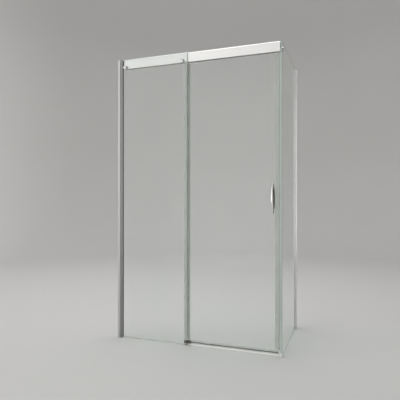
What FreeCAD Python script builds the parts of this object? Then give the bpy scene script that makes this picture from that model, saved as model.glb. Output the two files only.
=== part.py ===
import FreeCAD, Part
import math
import os
import re

import Sketcher

# Driving sizes in millimetres, kept in the sheet named Sizes
SIZES = {
    # Whole enclosure
    "overall_width": 1186.0,
    "overall_depth": 680.0,
    "overall_height": 2000.0,
    "glass_thickness": 8.0,
    "glass_arris": 0.8,
    "floor_gap": 4.0,
    "end_gap": 1.0,
    "drill_over": 1.0,
    # Wall channels and the glass channels that slide in them
    "channel_width": 30.0,
    "channel_reach": 20.0,
    "channel_wall": 1.6,
    "slide_gap": 0.4,
    "shoulder_gap": 0.5,
    "nose_width": 20.0,
    "nose_reach": 36.0,
    "nose_round": 1.5,
    "tongue_back": 8.0,
    "pocket_back": 22.0,
    "gasket_wall": 2.5,
    "gasket_lip": 0.6,
    "glass_back": 24.0,
    "cap_thickness": 2.0,
    "wall_hole_radius": 2.5,
    "wall_hole_margin": 120.0,
    "wall_hole_spacing": 600.0,
    "lock_margin": 200.0,
    "lock_reach": 14.0,
    "lock_radius": 2.0,
    "lock_clear": 0.6,
    "lock_bite": 6.0,
    "lock_head_radius": 4.5,
    "lock_head_height": 2.4,
    "lock_head_round": 1.5,
    "lock_socket_radius": 1.7,
    "lock_socket_depth": 1.4,
    # Front panels
    "fixed_edge": 533.0,
    "door_overlap": 14.0,
    "door_gap": 16.0,
    "door_setback": 18.0,
    "door_bottom": 20.0,
    "door_rise": 38.0,
    # Header rail
    "header_gap": 2.0,
    "header_height": 64.0,
    "header_depth": 42.0,
    "header_wall": 2.4,
    "header_slot": 16.0,
    "header_round": 5.0,
    "header_edge_round": 1.2,
    "ridge_setback": 33.0,
    "ridge_width": 4.0,
    "ridge_height": 3.6,
    "ridge_round": 1.9,
    # Header brackets and stops
    "arm_height": 17.4,
    "arm_play": 0.3,
    "arm_reach": 25.0,
    "arm_width": 24.0,
    "arm_shift": 5.0,
    "plate_thickness": 3.5,
    "plate_gap": 0.5,
    "plate_drop": 10.0,
    "plate_round": 4.0,
    "bracket_base": 5.0,
    "bracket_hole_radius": 2.75,
    "bracket_hole_rise": 22.0,
    "bracket_hole_spacing": 28.0,
    "stop_length": 7.0,
    "stop_drop": 20.0,
    "stop_gap": 1.0,
    "bumper_length": 3.0,
    # Fixings of the fixed glass and of the corner
    "fixing_inset": 53.0,
    "fixing_lap": 39.0,
    "fixing_rise": 10.0,
    "corner_bolt_shift": 3.0,
    "corner_bolt_rise": 14.0,
    "cap_radius": 15.0,
    "cap_height": 7.0,
    "cap_round": 4.5,
    "cap_bore": 3.2,
    "bolt_radius": 4.0,
    "bolt_bite": 3.0,
    "bolt_over": 0.5,
    "bolt_play": 0.1,
    "bolt_clear": 0.3,
    "thread_play": 0.05,
    "washer_radius": 13.0,
    "washer_thickness": 1.0,
    "sleeve_play": 0.1,
    "glass_hole_radius": 7.0,
    "nut_radius": 7.5,
    "nut_height": 4.0,
    # Rollers
    "roller_inset": 80.0,
    "wheel_radius": 13.0,
    "wheel_width": 8.0,
    "wheel_play": 0.02,
    "groove_radius": 2.4,
    "groove_reach": 12.8,
    "bearing_radius": 8.0,
    "bearing_width": 5.0,
    "bearing_play": 0.03,
    "bush_radius": 7.9,
    "bush_play": 0.1,
    "neck_radius": 6.0,
    "clamp_radius": 11.0,
    "clamp_thickness": 2.0,
    "axle_head_radius": 7.0,
    "axle_head_height": 3.0,
    "axle_socket_radius": 3.4,
    "axle_socket_depth": 1.8,
    "axle_end_gap": 0.6,
    "roller_nut_radius": 7.0,
    "roller_nut_height": 3.0,
    "roller_play": 0.3,
    # Handles
    "handle_inset": 37.0,
    "handle_height": 1000.0,
    "handle_length": 204.0,
    "handle_bow": 26.0,
    "handle_half_width": 8.0,
    "handle_half_depth": 4.5,
    "tip_half_width": 2.6,
    "tip_half_depth": 2.0,
    "tip_clear": 0.3,
    "post_share": 0.72,
    "post_radius": 5.0,
    "post_washer_lip": 1.5,
    "stud_radius": 3.0,
    "stud_play": 0.05,
    "stud_clear": 1.0,
    "stud_bite": 8.0,
    "stud_end_gap": 0.2,
    # Seals
    "seal_wall": 1.2,
    "seal_grip": 25.0,
    "seal_foot": 36.0,
    "seal_clear": 0.6,
    "seal_header_gap": 8.0,
    "fin_root": 0.4,
    "fin_lean": 2.0,
    "fin_width": 1.2,
    "magnet_width": 8.0,
    "magnet_depth": 4.8,
    "magnet_play": 0.05,
    "chamber_width": 14.0,
    "chamber_depth": 8.0,
    "jamb_depth": 7.4,
    "jamb_flange": 24.0,
    "sweep_height": 12.0,
    "sweep_inset": 2.0,
    "sweep_drop": 6.0,
    # Floor pieces
    "floor_channel_wall": 2.0,
    "floor_channel_height": 10.0,
    "threshold_height": 8.0,
    "threshold_width": 28.0,
    "threshold_edge": 2.0,
    "threshold_slope": 4.0,
    "threshold_lead": 16.0,
    "end_cap_length": 3.0,
    "guide_lead": 14.0,
    "guide_length": 44.0,
    "guide_height": 20.0,
    "guide_floor": 2.5,
    "guide_slot": 14.0,
    "guide_inset": 0.5,
    "guide_round": 2.0,
    "liner_thickness": 1.0,
    "guide_screw_radius": 2.0,
    "guide_screw_play": 0.1,
    "guide_head_radius": 3.2,
    "guide_head_height": 1.8,
    "guide_socket_radius": 1.5,
    "guide_socket_depth": 1.1,
    "foot_wall": 6.0,
    "foot_front": 9.0,
    "foot_back": 18.0,
    "foot_height": 22.0,
    "foot_round": 7.0,
    "foot_rim": 3.0,
    "foot_gap": 0.5,
}

# Shares of half the handle's length at which its sections stand
HANDLE_SHARES = (-1, -0.8, -0.45, 0, 0.45, 0.8, 1)

# How near two lengths have to be to count as one, and the least volume that a cut takes away
NEAR = 1e-3
LEAST_CUT = 0.1

# Places that follow from the sizes: x from the left wall, y from the fixed glass, z from the floor
PLACES = {
    "pane_middle": "glass_thickness / 2",
    "front_face": "pane_middle - channel_width / 2",
    "rear_wall": "front_face + overall_depth",
    "frame_x": "-overall_width / 2",
    "frame_y": "-front_face - overall_depth / 2",
    "side_middle": "overall_width - channel_width / 2",
    "side_inner": "side_middle - glass_thickness / 2",
    "side_outer": "side_middle + glass_thickness / 2",
    "channel_half": "channel_width / 2",
    "channel_top": "overall_height - cap_thickness",
    "shoulder": "channel_reach + shoulder_gap",
    "tongue_half": "channel_half - channel_wall - slide_gap",
    "nose_half": "nose_width / 2",
    "pocket_half": "glass_thickness / 2 + gasket_wall",
    "header_front": "glass_thickness + header_gap",
    "header_back": "header_front + header_depth",
    "header_bottom": "overall_height - header_height",
    "header_left": "nose_reach + end_gap",
    "plate_left": "side_inner - washer_thickness - plate_thickness",
    "header_right": "plate_left - plate_gap",
    "arm_top": "overall_height - header_wall - arm_play",
    "arm_bottom": "arm_top - arm_height",
    "arm_front": "header_front + header_depth / 2 - arm_width / 2 + arm_shift",
    "door_middle": "header_front + door_setback",
    "door_front": "door_middle - glass_thickness / 2",
    "door_back": "door_middle + glass_thickness / 2",
    "door_left": "fixed_edge - door_overlap",
    "door_right": "side_inner - door_gap",
    "door_top": "header_bottom + door_rise",
    "ridge_middle": "header_front + ridge_setback",
    "ridge_centre": "header_bottom + header_wall + ridge_height - ridge_width / 2",
    "axle_height": "ridge_centre + groove_reach",
    "wheel_front": "ridge_middle - wheel_width / 2",
    "bearing_front": "ridge_middle - bearing_width / 2",
    "bearing_back": "ridge_middle + bearing_width / 2",
    "fixing_height": "header_bottom + fixing_rise",
    "fixing_right": "fixed_edge - fixing_lap",
    "corner_bolt_y": "door_middle + corner_bolt_shift",
    "corner_bolt_z": "header_bottom + corner_bolt_rise",
    "handle_x": "door_right - handle_inset",
    "post_rise": "post_share * handle_length / 2",
    "tip_gap": "tip_half_depth + tip_clear",
    "post_bow": "tip_gap + handle_bow * (1 - post_share * post_share)",
    "seal_top": "header_bottom - seal_header_gap",
    "jamb_top": "header_bottom - plate_drop - end_gap",
    "threshold_front": "door_middle - threshold_width / 2",
    "threshold_back": "door_middle + threshold_width / 2",
    "threshold_start": "door_left - threshold_lead",
    "threshold_end": "side_inner - foot_wall - end_gap",
    "guide_start": "door_left - guide_lead",
    "guide_top": "threshold_height + guide_height",
}

doc = FreeCAD.newDocument("shower_enclosure")
nodes = []


def bound(text):
    """Write each size or place in an expression together with the sheet that keeps it."""

    def full(match):
        word = match.group(0)
        if word in SIZES:
            return "Sizes." + word
        if word in PLACES:
            return "Places." + word
        return word

    return re.sub(r"[a-z_]+", full, str(text))


def fill_sheets():
    """Make the sheet of driving sizes and the sheet of places that follow from them."""
    sizes = doc.addObject("Spreadsheet::Sheet", "Sizes")
    for row, (alias, value) in enumerate(SIZES.items(), start=1):
        sizes.set(f"A{row}", alias)
        sizes.set(f"B{row}", str(value))
        sizes.setAlias(f"B{row}", alias)
    doc.recompute()
    places = doc.addObject("Spreadsheet::Sheet", "Places")
    for row, (alias, formula) in enumerate(PLACES.items(), start=1):
        places.set(f"A{row}", alias)
        places.setAlias(f"B{row}", alias)
        places.set(f"B{row}", "=" + bound(formula).replace("Places.", ""))
    doc.recompute()
    return places


def number(text):
    """Work out an expression's present value."""
    return float(places_sheet.evalExpression(bound(text)))


def bind(item, path, text):
    """Tie a property of an object to the sheets."""
    item.setExpression(path, bound(text))


def place(item, x, y, z):
    """Put an object at a place of the enclosure, in the shared frame."""
    bind(item, "Placement.Base.x", f"frame_x + {x}")
    bind(item, "Placement.Base.y", f"frame_y + {y}")
    bind(item, "Placement.Base.z", str(z))


def new_body(name, x="0", y="0", z="0", turn=0):
    """Start a body at a place, turned about the upright axis."""
    body = doc.addObject("PartDesign::Body", name)
    body.Label = name
    body.Placement = FreeCAD.Placement(FreeCAD.Vector(), FreeCAD.Rotation(FreeCAD.Vector(0, 0, 1), turn))
    place(body, x, y, z)
    return body


def new_sketch(body, role, offset="0"):
    """Start a sketch on one of a body's own planes, moved along the plane's normal."""
    sketch = body.newObject("Sketcher::SketchObject", body.Name + "_sketch")
    plane = next(item for item in body.Origin.OriginFeatures if item.Role == role)
    sketch.AttachmentSupport = [(plane, "")]
    sketch.MapMode = "FlatFace"
    bind(sketch, "AttachmentOffset.Base.z", offset)
    return sketch


def draw_loop(sketch, corners):
    """Draw a closed outline whose corners are each dimensioned from the sketch's origin."""
    first = sketch.GeometryCount
    count = len(corners)
    points = [FreeCAD.Vector(number(across), number(along), 0) for across, along in corners]
    lines = [Part.LineSegment(points[i], points[(i + 1) % count]) for i in range(count)]
    sketch.addGeometry(lines, False)
    joins = []
    for i in range(count):
        joins.append(Sketcher.Constraint("Coincident", first + i, 2, first + (i + 1) % count, 1))
    sketch.addConstraint(joins)
    for i, corner in enumerate(corners):
        for kind, text in zip(("DistanceX", "DistanceY"), corner):
            index = sketch.addConstraint(Sketcher.Constraint(kind, -1, 1, first + i, 1, number(text)))
            bind(sketch, f"Constraints[{index}]", text)


def draw_circle(sketch, across, along, radius):
    """Draw a circle dimensioned from the sketch's origin."""
    centre = FreeCAD.Vector(number(across), number(along), 0)
    circle = sketch.addGeometry(Part.Circle(centre, FreeCAD.Vector(0, 0, 1), number(radius)), False)
    wanted = (
        (Sketcher.Constraint("DistanceX", -1, 1, circle, 3, centre.x), across),
        (Sketcher.Constraint("DistanceY", -1, 1, circle, 3, centre.y), along),
        (Sketcher.Constraint("Radius", circle, number(radius)), radius),
    )
    for constraint, text in wanted:
        index = sketch.addConstraint(constraint)
        bind(sketch, f"Constraints[{index}]", text)


def box_corners(left, low, right, high):
    """List the corners of a rectangle."""
    return [(left, low), (right, low), (right, high), (left, high)]


def extrude(name, role, loops, start, length, **spot):
    """Make a body by drawing outlines on a plane and padding them along one axis."""
    body = new_body(name, **spot)
    offset = f"-({start} + {length})" if role == "XZ_Plane" else start
    sketch = new_sketch(body, role, offset)
    for loop in loops:
        draw_loop(sketch, loop)
    pad = body.newObject("PartDesign::Pad", body.Name + "_pad")
    pad.Profile = sketch
    bind(pad, "Length", length)
    doc.recompute()
    return body


def must_shrink(body, before):
    """Stop if a cut took nothing away from a body."""
    if body.Shape.Volume > before - LEAST_CUT:
        raise RuntimeError(body.Label + ": a cut removed nothing")


def cut(body, sketch, role, depth):
    """Pocket a sketch into a body and make sure that it took material away."""
    before = body.Shape.Volume
    pocket = body.newObject("PartDesign::Pocket", body.Name + "_pocket")
    pocket.Profile = sketch
    pocket.Reversed = role != "XZ_Plane"
    bind(pocket, "Length", depth)
    doc.recompute()
    must_shrink(body, before)


def cut_sketch(body, role, start):
    """Start the sketch of a cut at an offset of one of a body's planes."""
    return new_sketch(body, role, f"-({start})" if role == "XZ_Plane" else start)


def bore(body, role, start, depth, spots, radius):
    """Drill round holes into a body from an offset of one of its planes."""
    sketch = cut_sketch(body, role, start)
    for across, along in spots:
        draw_circle(sketch, across, along, radius)
    cut(body, sketch, role, depth)


def bore_through(body, role, start, thickness, spots, radius):
    """Drill round holes right through a wall that starts at an offset of one of a body's planes."""
    near, depth = f"{start} - drill_over", f"{thickness} + 2 * drill_over"
    bore(body, role, near, depth, spots, radius)


def hexagon(radius):
    """List the corners of a hexagon about the origin, from its corner radius."""
    return [(f"{radius} * cos({60 * i} deg)", f"{radius} * sin({60 * i} deg)") for i in range(6)]


def sink(body, role, start, depth, radius):
    """Sink a hexagon socket into a screw head from a level in front of it."""
    sketch = cut_sketch(body, role, start)
    draw_loop(sketch, hexagon(radius))
    cut(body, sketch, role, f"{depth} + drill_over")


def hex_nut(name, radius, start, height, x, z):
    """Hexagon nut on a thread that runs from front to back."""
    body = extrude(name, "XZ_Plane", [hexagon(radius)], start, height, x=x, z=z)
    bore_through(body, "XZ_Plane", start, height, [("0", "0")], "bolt_radius + thread_play")
    return body


def turned(name, corners, axis="V_Axis", role="XY_Plane", **spot):
    """Make a body by turning an outline through a full circle."""
    body = new_body(name, **spot)
    sketch = new_sketch(body, role)
    draw_loop(sketch, corners)
    turn = body.newObject("PartDesign::Revolution", body.Name + "_turn")
    turn.Profile = sketch
    turn.ReferenceAxis = (sketch, [axis])
    turn.Angle = 360
    doc.recompute()
    return body


def ring(inner, outer, start, end):
    """List the corners of a ring's section, radius first."""
    return box_corners(inner, start, outer, end)


def round_edges(body, wanted, radius):
    """Fillet the edges of a body that a test picks out."""
    tip = body.Tip
    names = [f"Edge{i + 1}" for i, edge in enumerate(tip.Shape.Edges) if wanted(edge)]
    if not names:
        raise RuntimeError(body.Label + ": no edge to round")
    fillet = body.newObject("PartDesign::Fillet", body.Name + "_round")
    fillet.Base = (tip, names)
    bind(fillet, "Radius", radius)
    doc.recompute()


def grind_arris(body):
    """Take the sharp corners off the long edges of a pane."""
    tip = body.Tip
    least = 2 * number("glass_thickness")
    names = [f"Edge{i + 1}" for i, edge in enumerate(tip.Shape.Edges) if edge.Length > least]
    chamfer = body.newObject("PartDesign::Chamfer", body.Name + "_arris")
    chamfer.Base = (tip, names)
    bind(chamfer, "Size", "glass_arris")
    doc.recompute()


def line_at(direction, first, second):
    """Give a test for straight edges along one axis at a spot of the other two."""
    axis = "xyz".index(direction)
    others = [i for i in range(3) if i != axis]
    spot = (number(first), number(second))

    def wanted(edge):
        ends = [tuple(vertex.Point) for vertex in edge.Vertexes]
        if len(ends) != 2 or abs(ends[0][axis] - ends[1][axis]) < NEAR:
            return False
        away = [abs(end[i] - value) for end in ends for i, value in zip(others, spot)]
        return max(away) < NEAR

    return wanted


def circle_at(axis, height, radius):
    """Give a test for the round edge of a radius at a height along an axis."""
    index = "xyz".index(axis)
    level, size = number(height), number(radius)

    def wanted(edge):
        curve = edge.Curve
        if not isinstance(curve, Part.Circle):
            return False
        return abs(curve.Radius - size) < NEAR and abs(curve.Center[index] - level) < NEAR

    return wanted


def group(name, members):
    """Keep several like solids as one node."""
    node = doc.addObject("Part::Compound", name)
    node.Links = members
    node.Label = name
    return keep(node)


def keep(node):
    """Note an object as a node of the enclosure."""
    nodes.append(node)
    return node


def lock_heights():
    """List the heights of the lock screws on a channel."""
    return ["lock_margin", "overall_height / 2", "overall_height - lock_margin"]


def wall_hole_heights():
    """List the heights of the wall screw holes of a channel."""
    middle = "overall_height / 2"
    inner = [f"{middle} - wall_hole_spacing / 2", f"{middle} + wall_hole_spacing / 2"]
    return ["wall_hole_margin", *inner, "overall_height - wall_hole_margin"]


def wall_channel(side, spot, inside):
    """Open channel that is screwed to a wall; the glass channel slides in it."""
    leg = "channel_half - channel_wall"
    corners = [
        ("0", "-channel_half"),
        ("channel_reach", "-channel_half"),
        ("channel_reach", f"-({leg})"),
        ("channel_wall", f"-({leg})"),
        ("channel_wall", leg),
        ("channel_reach", leg),
        ("channel_reach", "channel_half"),
        ("0", "channel_half"),
    ]
    body = extrude("wall_channel_" + side, "XY_Plane", [corners], "0", "channel_top", **spot)
    spots = [("0", height) for height in wall_hole_heights()]
    bore_through(body, "YZ_Plane", "0", "channel_wall", spots, "wall_hole_radius")
    spots = [("lock_reach", height) for height in lock_heights()]
    start = leg if inside > 0 else "-channel_half"
    bore_through(body, "XZ_Plane", start, "channel_wall", spots, "lock_radius + lock_clear")
    return keep(body)


def glass_channel(side, spot, inside):
    """Telescoping channel with a tongue in the wall channel and a pocket for the glass."""
    inner = "tongue_half - channel_wall"
    web = "shoulder - channel_wall"
    corners = [
        ("tongue_back", "-tongue_half"),
        ("shoulder", "-tongue_half"),
        ("shoulder", "-nose_half"),
        ("nose_reach", "-nose_half"),
        ("nose_reach", "-pocket_half"),
        ("pocket_back", "-pocket_half"),
        ("pocket_back", "pocket_half"),
        ("nose_reach", "pocket_half"),
        ("nose_reach", "nose_half"),
        ("shoulder", "nose_half"),
        ("shoulder", "tongue_half"),
        ("tongue_back", "tongue_half"),
        ("tongue_back", inner),
        (web, inner),
        (web, f"-({inner})"),
        ("tongue_back", f"-({inner})"),
    ]
    body = extrude("glass_channel_" + side, "XY_Plane", [corners], "0", "channel_top", **spot)
    spots = [("lock_reach", height) for height in lock_heights()]
    start = inner if inside > 0 else "-tongue_half"
    bore_through(body, "XZ_Plane", start, "channel_wall", spots, "lock_radius + thread_play")
    for edge in ("-nose_half", "nose_half"):
        round_edges(body, line_at("z", "nose_reach", edge), "nose_round")
    return keep(body)


def glass_gasket(side, spot):
    """Dark gasket between the glass and the pocket of its channel."""
    lip = "nose_reach + gasket_lip"
    corners = [
        ("pocket_back", "-pocket_half"),
        (lip, "-pocket_half"),
        (lip, "-pane_middle"),
        ("glass_back", "-pane_middle"),
        ("glass_back", "pane_middle"),
        (lip, "pane_middle"),
        (lip, "pocket_half"),
        ("pocket_back", "pocket_half"),
    ]
    name = "glass_gasket_" + side
    return keep(extrude(name, "XY_Plane", [corners], "floor_gap", "overall_height - floor_gap", **spot))


def channel_cap(side, spot):
    """Flat cap on the top end of both channels, notched round the glass."""
    corners = [
        ("0", "-channel_half"),
        ("shoulder", "-channel_half"),
        ("shoulder", "-nose_half"),
        ("nose_reach", "-nose_half"),
        ("nose_reach", "-pocket_half"),
        ("pocket_back", "-pocket_half"),
        ("pocket_back", "pocket_half"),
        ("nose_reach", "pocket_half"),
        ("nose_reach", "nose_half"),
        ("shoulder", "nose_half"),
        ("shoulder", "channel_half"),
        ("0", "channel_half"),
    ]
    name = "channel_cap_" + side
    return keep(extrude(name, "XY_Plane", [corners], "channel_top", "cap_thickness", **spot))


def channel_screws(side, x, y, turn):
    """Lock screws that hold the glass channel in the wall channel, heads to the inside."""
    top = "channel_half + lock_head_height"
    depth = "lock_socket_depth"
    corners = [
        ("0", "channel_half - lock_bite"),
        ("lock_radius", "channel_half - lock_bite"),
        ("lock_radius", "channel_half"),
        ("lock_head_radius", "channel_half"),
        ("lock_head_radius", top),
        ("0", top),
    ]
    screws = []
    for count, height in enumerate(lock_heights(), start=1):
        screw = turned(f"lock_screw_{side}_{count}", corners, x=x, y=y, z=height, turn=turn)
        round_edges(screw, circle_at("y", top, "lock_head_radius"), "lock_head_round")
        sink(screw, "XZ_Plane", f"{top} - {depth}", depth, "lock_socket_radius")
        screws.append(screw)
    group("channel_screws_" + side, screws)


def wall_posts():
    """Both wall posts: channels, gaskets, caps and lock screws."""
    left = {"x": "0", "y": "pane_middle", "turn": 0}
    right = {"x": "side_middle", "y": "rear_wall", "turn": -90}
    for side, spot, inside in (("left", left, 1), ("right", right, -1)):
        wall_channel(side, spot, inside)
        glass_channel(side, spot, inside)
        glass_gasket(side, spot)
        channel_cap(side, spot)
    channel_screws("left", "lock_reach", "pane_middle", 0)
    channel_screws("right", "side_middle", "rear_wall - lock_reach", 90)


def fixing_spots():
    """List where the fixed glass is bolted to the header."""
    return [("fixing_inset", "fixing_height"), ("fixing_right", "fixing_height")]


def fixed_glass():
    """Fixed front pane, drilled for its two header fixings."""
    corners = box_corners("glass_back", "0", "fixed_edge", "glass_thickness")
    rise = "overall_height - floor_gap"
    body = extrude("fixed_glass", "XY_Plane", [corners], "floor_gap", rise)
    grind_arris(body)
    bore_through(body, "XZ_Plane", "0", "glass_thickness", fixing_spots(), "glass_hole_radius")
    return keep(body)


def fixed_edge_seal():
    """Clear seal on the free edge of the fixed glass, with a fin towards the door."""
    near = "fixed_edge - seal_grip"
    back = "glass_thickness + seal_wall"
    tip = "door_front - seal_wall - seal_clear"
    far = "fixed_edge + seal_wall"
    corners = [
        (near, "-seal_wall"),
        (far, "-seal_wall"),
        (far, back),
        (f"{far} + fin_lean", tip),
        (f"{far} + fin_lean - fin_width", tip),
        ("fixed_edge - fin_root", back),
        (near, back),
        (near, "glass_thickness"),
        ("fixed_edge", "glass_thickness"),
        ("fixed_edge", "0"),
        (near, "0"),
    ]
    return keep(extrude("fixed_edge_seal", "XY_Plane", [corners], "seal_foot", "seal_top - seal_foot"))


def floor_channel(name, role, inner, outer, start, length):
    """Clear strip that seats the lower edge of a fixed pane on the floor."""
    wall = "floor_channel_wall"
    corners = [
        (f"{inner} - {wall}", "0"),
        (f"{outer} + {wall}", "0"),
        (f"{outer} + {wall}", "floor_channel_height"),
        (outer, "floor_channel_height"),
        (outer, "floor_gap"),
        (inner, "floor_gap"),
        (inner, "floor_channel_height"),
        (f"{inner} - {wall}", "floor_channel_height"),
    ]
    return keep(extrude(name, role, [corners], start, length))


def floor_channels():
    """Both floor strips, from the wall channels to the free edge and to the corner foot."""
    start = "nose_reach + end_gap"
    run = f"fixed_edge - ({start})"
    floor_channel("fixed_floor_channel", "YZ_Plane", "0", "glass_thickness", start, run)
    start = "foot_back + foot_gap"
    run = f"rear_wall - nose_reach - end_gap - ({start})"
    floor_channel("side_floor_channel", "XZ_Plane", "side_inner", "side_outer", start, run)


def header_rail():
    """Header extrusion: closed face, lower slot for the door and a rail ridge on the back ledge."""
    low = "header_bottom"
    floor = "header_bottom + header_wall"
    roof = "overall_height - header_wall"
    face = "header_front + header_wall"
    rear = "header_back - header_wall"
    slot_front = "door_middle - header_slot / 2"
    slot_back = "door_middle + header_slot / 2"
    ridge_front = "ridge_middle - ridge_width / 2"
    ridge_back = "ridge_middle + ridge_width / 2"
    crest = f"{floor} + ridge_height"
    corners = [
        ("header_front", low),
        (slot_front, low),
        (slot_front, floor),
        (face, floor),
        (face, roof),
        (rear, roof),
        (rear, floor),
        (ridge_back, floor),
        (ridge_back, crest),
        (ridge_front, crest),
        (ridge_front, floor),
        (slot_back, floor),
        (slot_back, low),
        ("header_back", low),
        ("header_back", "overall_height"),
        ("header_front", "overall_height"),
    ]
    body = extrude("header_rail", "YZ_Plane", [corners], "header_left", "header_right - header_left")
    hole = "bolt_radius + bolt_clear"
    bore_through(body, "XZ_Plane", "header_front", "header_wall", fixing_spots(), hole)
    for edge in (ridge_front, ridge_back):
        round_edges(body, line_at("x", edge, crest), "ridge_round")
    round_edges(body, line_at("x", face, roof), "header_round - header_wall")
    for edge in ("header_front", "header_back"):
        round_edges(body, line_at("x", edge, "overall_height"), "header_round")
        round_edges(body, line_at("x", edge, low), "header_edge_round")
    return keep(body)


def header_wall_bracket():
    """Dark bracket that carries the header's wall end: screwed plate with an arm into the rail."""
    tip = "header_left + arm_reach"
    corners = [
        ("0", "header_bottom"),
        ("bracket_base", "header_bottom"),
        ("bracket_base", "arm_bottom"),
        (tip, "arm_bottom"),
        (tip, "arm_top"),
        ("0", "arm_top"),
    ]
    body = extrude("header_wall_bracket", "XZ_Plane", [corners], "arm_front", "arm_width")
    middle = "arm_front + arm_width / 2"
    centre = "header_bottom + bracket_hole_rise"
    spots = [
        (middle, f"{centre} - bracket_hole_spacing / 2"),
        (middle, f"{centre} + bracket_hole_spacing / 2"),
    ]
    bore_through(body, "YZ_Plane", "0", "bracket_base", spots, "bracket_hole_radius")
    return keep(body)


def corner_bracket():
    """Bracket at the header's corner end: arm into the rail and a plate bolted to the side glass."""
    low = "header_bottom - plate_drop"
    corners = [
        ("plate_left", low),
        ("plate_left + plate_thickness", low),
        ("plate_left + plate_thickness", "arm_top"),
        ("header_right - arm_reach", "arm_top"),
        ("header_right - arm_reach", "arm_bottom"),
        ("plate_left", "arm_bottom"),
    ]
    body = extrude("corner_bracket", "XZ_Plane", [corners], "arm_front", "arm_width")
    spots = [("corner_bolt_y", "corner_bolt_z")]
    hole = "bolt_radius + thread_play"
    bore_through(body, "YZ_Plane", "plate_left", "plate_thickness", spots, hole)
    for edge in ("arm_front", "arm_front + arm_width"):
        round_edges(body, line_at("x", edge, low), "plate_round")
    return keep(body)


def corner_fixing():
    """Bolt, cap and washers that fix the corner bracket through the side glass."""
    spot = {"y": "corner_bolt_y", "z": "corner_bolt_z"}
    face = "side_outer + washer_thickness"
    bolt = box_corners("plate_left + bolt_play", "0", f"{face} + bolt_bite", "bolt_radius")
    keep(turned("corner_bolt", bolt, axis="H_Axis", **spot))
    cap = [
        (face, "bolt_radius + bolt_play"),
        (f"{face} + cap_bore", "bolt_radius + bolt_play"),
        (f"{face} + cap_bore", "0"),
        (f"{face} + cap_height", "0"),
        (f"{face} + cap_height", "cap_radius"),
        (face, "cap_radius"),
    ]
    body = turned("corner_cap", cap, axis="H_Axis", **spot)
    round_edges(body, circle_at("x", f"{face} + cap_height", "cap_radius"), "cap_round")
    keep(body)
    washers = []
    for name, start in (("inner", "side_inner - washer_thickness"), ("outer", "side_outer")):
        end = f"{start} + washer_thickness"
        section = box_corners(start, "bolt_radius + bolt_play", end, "washer_radius")
        washers.append(turned("corner_washer_" + name, section, axis="H_Axis", **spot))
    group("corner_washers", washers)


def fixing_sets():
    """Round caps, bolts, washers and nuts that hold the fixed glass to the header."""
    play = "bolt_radius + bolt_play"
    sleeve = "glass_hole_radius - sleeve_play"
    inside = "header_front + header_wall"
    crown = "-washer_thickness - cap_height"
    cap = [
        ("0", crown),
        ("cap_radius", crown),
        ("cap_radius", "-washer_thickness"),
        (play, "-washer_thickness"),
        (play, "-washer_thickness - cap_bore"),
        ("0", "-washer_thickness - cap_bore"),
    ]
    bolt_end = f"{inside} + nut_height + bolt_over"
    bolt = ring("0", "bolt_radius", "-washer_thickness - bolt_bite", bolt_end)
    front = ring(play, "washer_radius", "-washer_thickness", "0")
    rear = [
        (play, "0"),
        (sleeve, "0"),
        (sleeve, "glass_thickness"),
        ("washer_radius", "glass_thickness"),
        ("washer_radius", "header_front"),
        (play, "header_front"),
    ]
    caps, bolts, washers, nuts = [], [], [], []
    for count, (x, z) in enumerate(fixing_spots(), start=1):
        spot = {"x": x, "z": z}
        body = turned(f"fixing_cap_{count}", cap, **spot)
        round_edges(body, circle_at("y", crown, "cap_radius"), "cap_round")
        caps.append(body)
        bolts.append(turned(f"fixing_bolt_{count}", bolt, **spot))
        washers.append(turned(f"fixing_washer_front_{count}", front, **spot))
        washers.append(turned(f"fixing_washer_rear_{count}", rear, **spot))
        nuts.append(hex_nut(f"fixing_nut_{count}", "nut_radius", inside, "nut_height", x, z))
    group("fixing_caps", caps)
    group("fixing_bolts", bolts)
    group("fixing_washers", washers)
    group("fixing_nuts", nuts)


def stop_box(name, x, length):
    """Upright block in the header, in the plane of the door glass."""
    block = doc.addObject("Part::Box", name)
    bind(block, "Length", length)
    bind(block, "Width", "glass_thickness")
    bind(block, "Height", "stop_drop")
    place(block, x, "door_front", "arm_bottom - stop_drop")
    return block


def door_stops():
    """Stops under both bracket arms and the rubber bumpers that meet the door glass."""
    open_face = "header_left + arm_reach"
    shut_face = "door_right + stop_gap + bumper_length"
    blocks = [
        stop_box("stop_open", f"{open_face} - stop_length", "stop_length"),
        stop_box("stop_shut", shut_face, "stop_length"),
    ]
    group("door_stops", blocks)
    bumpers = [
        stop_box("bumper_open", open_face, "bumper_length"),
        stop_box("bumper_shut", f"{shut_face} - bumper_length", "bumper_length"),
    ]
    group("door_stop_bumpers", bumpers)


def threshold_section(front):
    """List the corners of the low sill section from a given front."""
    return [
        (front, "0"),
        ("threshold_back", "0"),
        ("threshold_back", "threshold_edge"),
        ("threshold_back - threshold_slope", "threshold_height"),
    ]


def threshold():
    """Low sill under the door and the cap on its corner end."""
    section = threshold_section("threshold_front") + [
        ("threshold_front + threshold_slope", "threshold_height"),
        ("threshold_front", "threshold_edge"),
    ]
    length = "threshold_end - threshold_start"
    keep(extrude("threshold_strip", "YZ_Plane", [section], "threshold_start", length))
    near = "foot_back + end_gap"
    section = threshold_section(near) + [(near, "threshold_height")]
    keep(extrude("threshold_end_cap", "YZ_Plane", [section], "threshold_end", "end_cap_length"))


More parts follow.
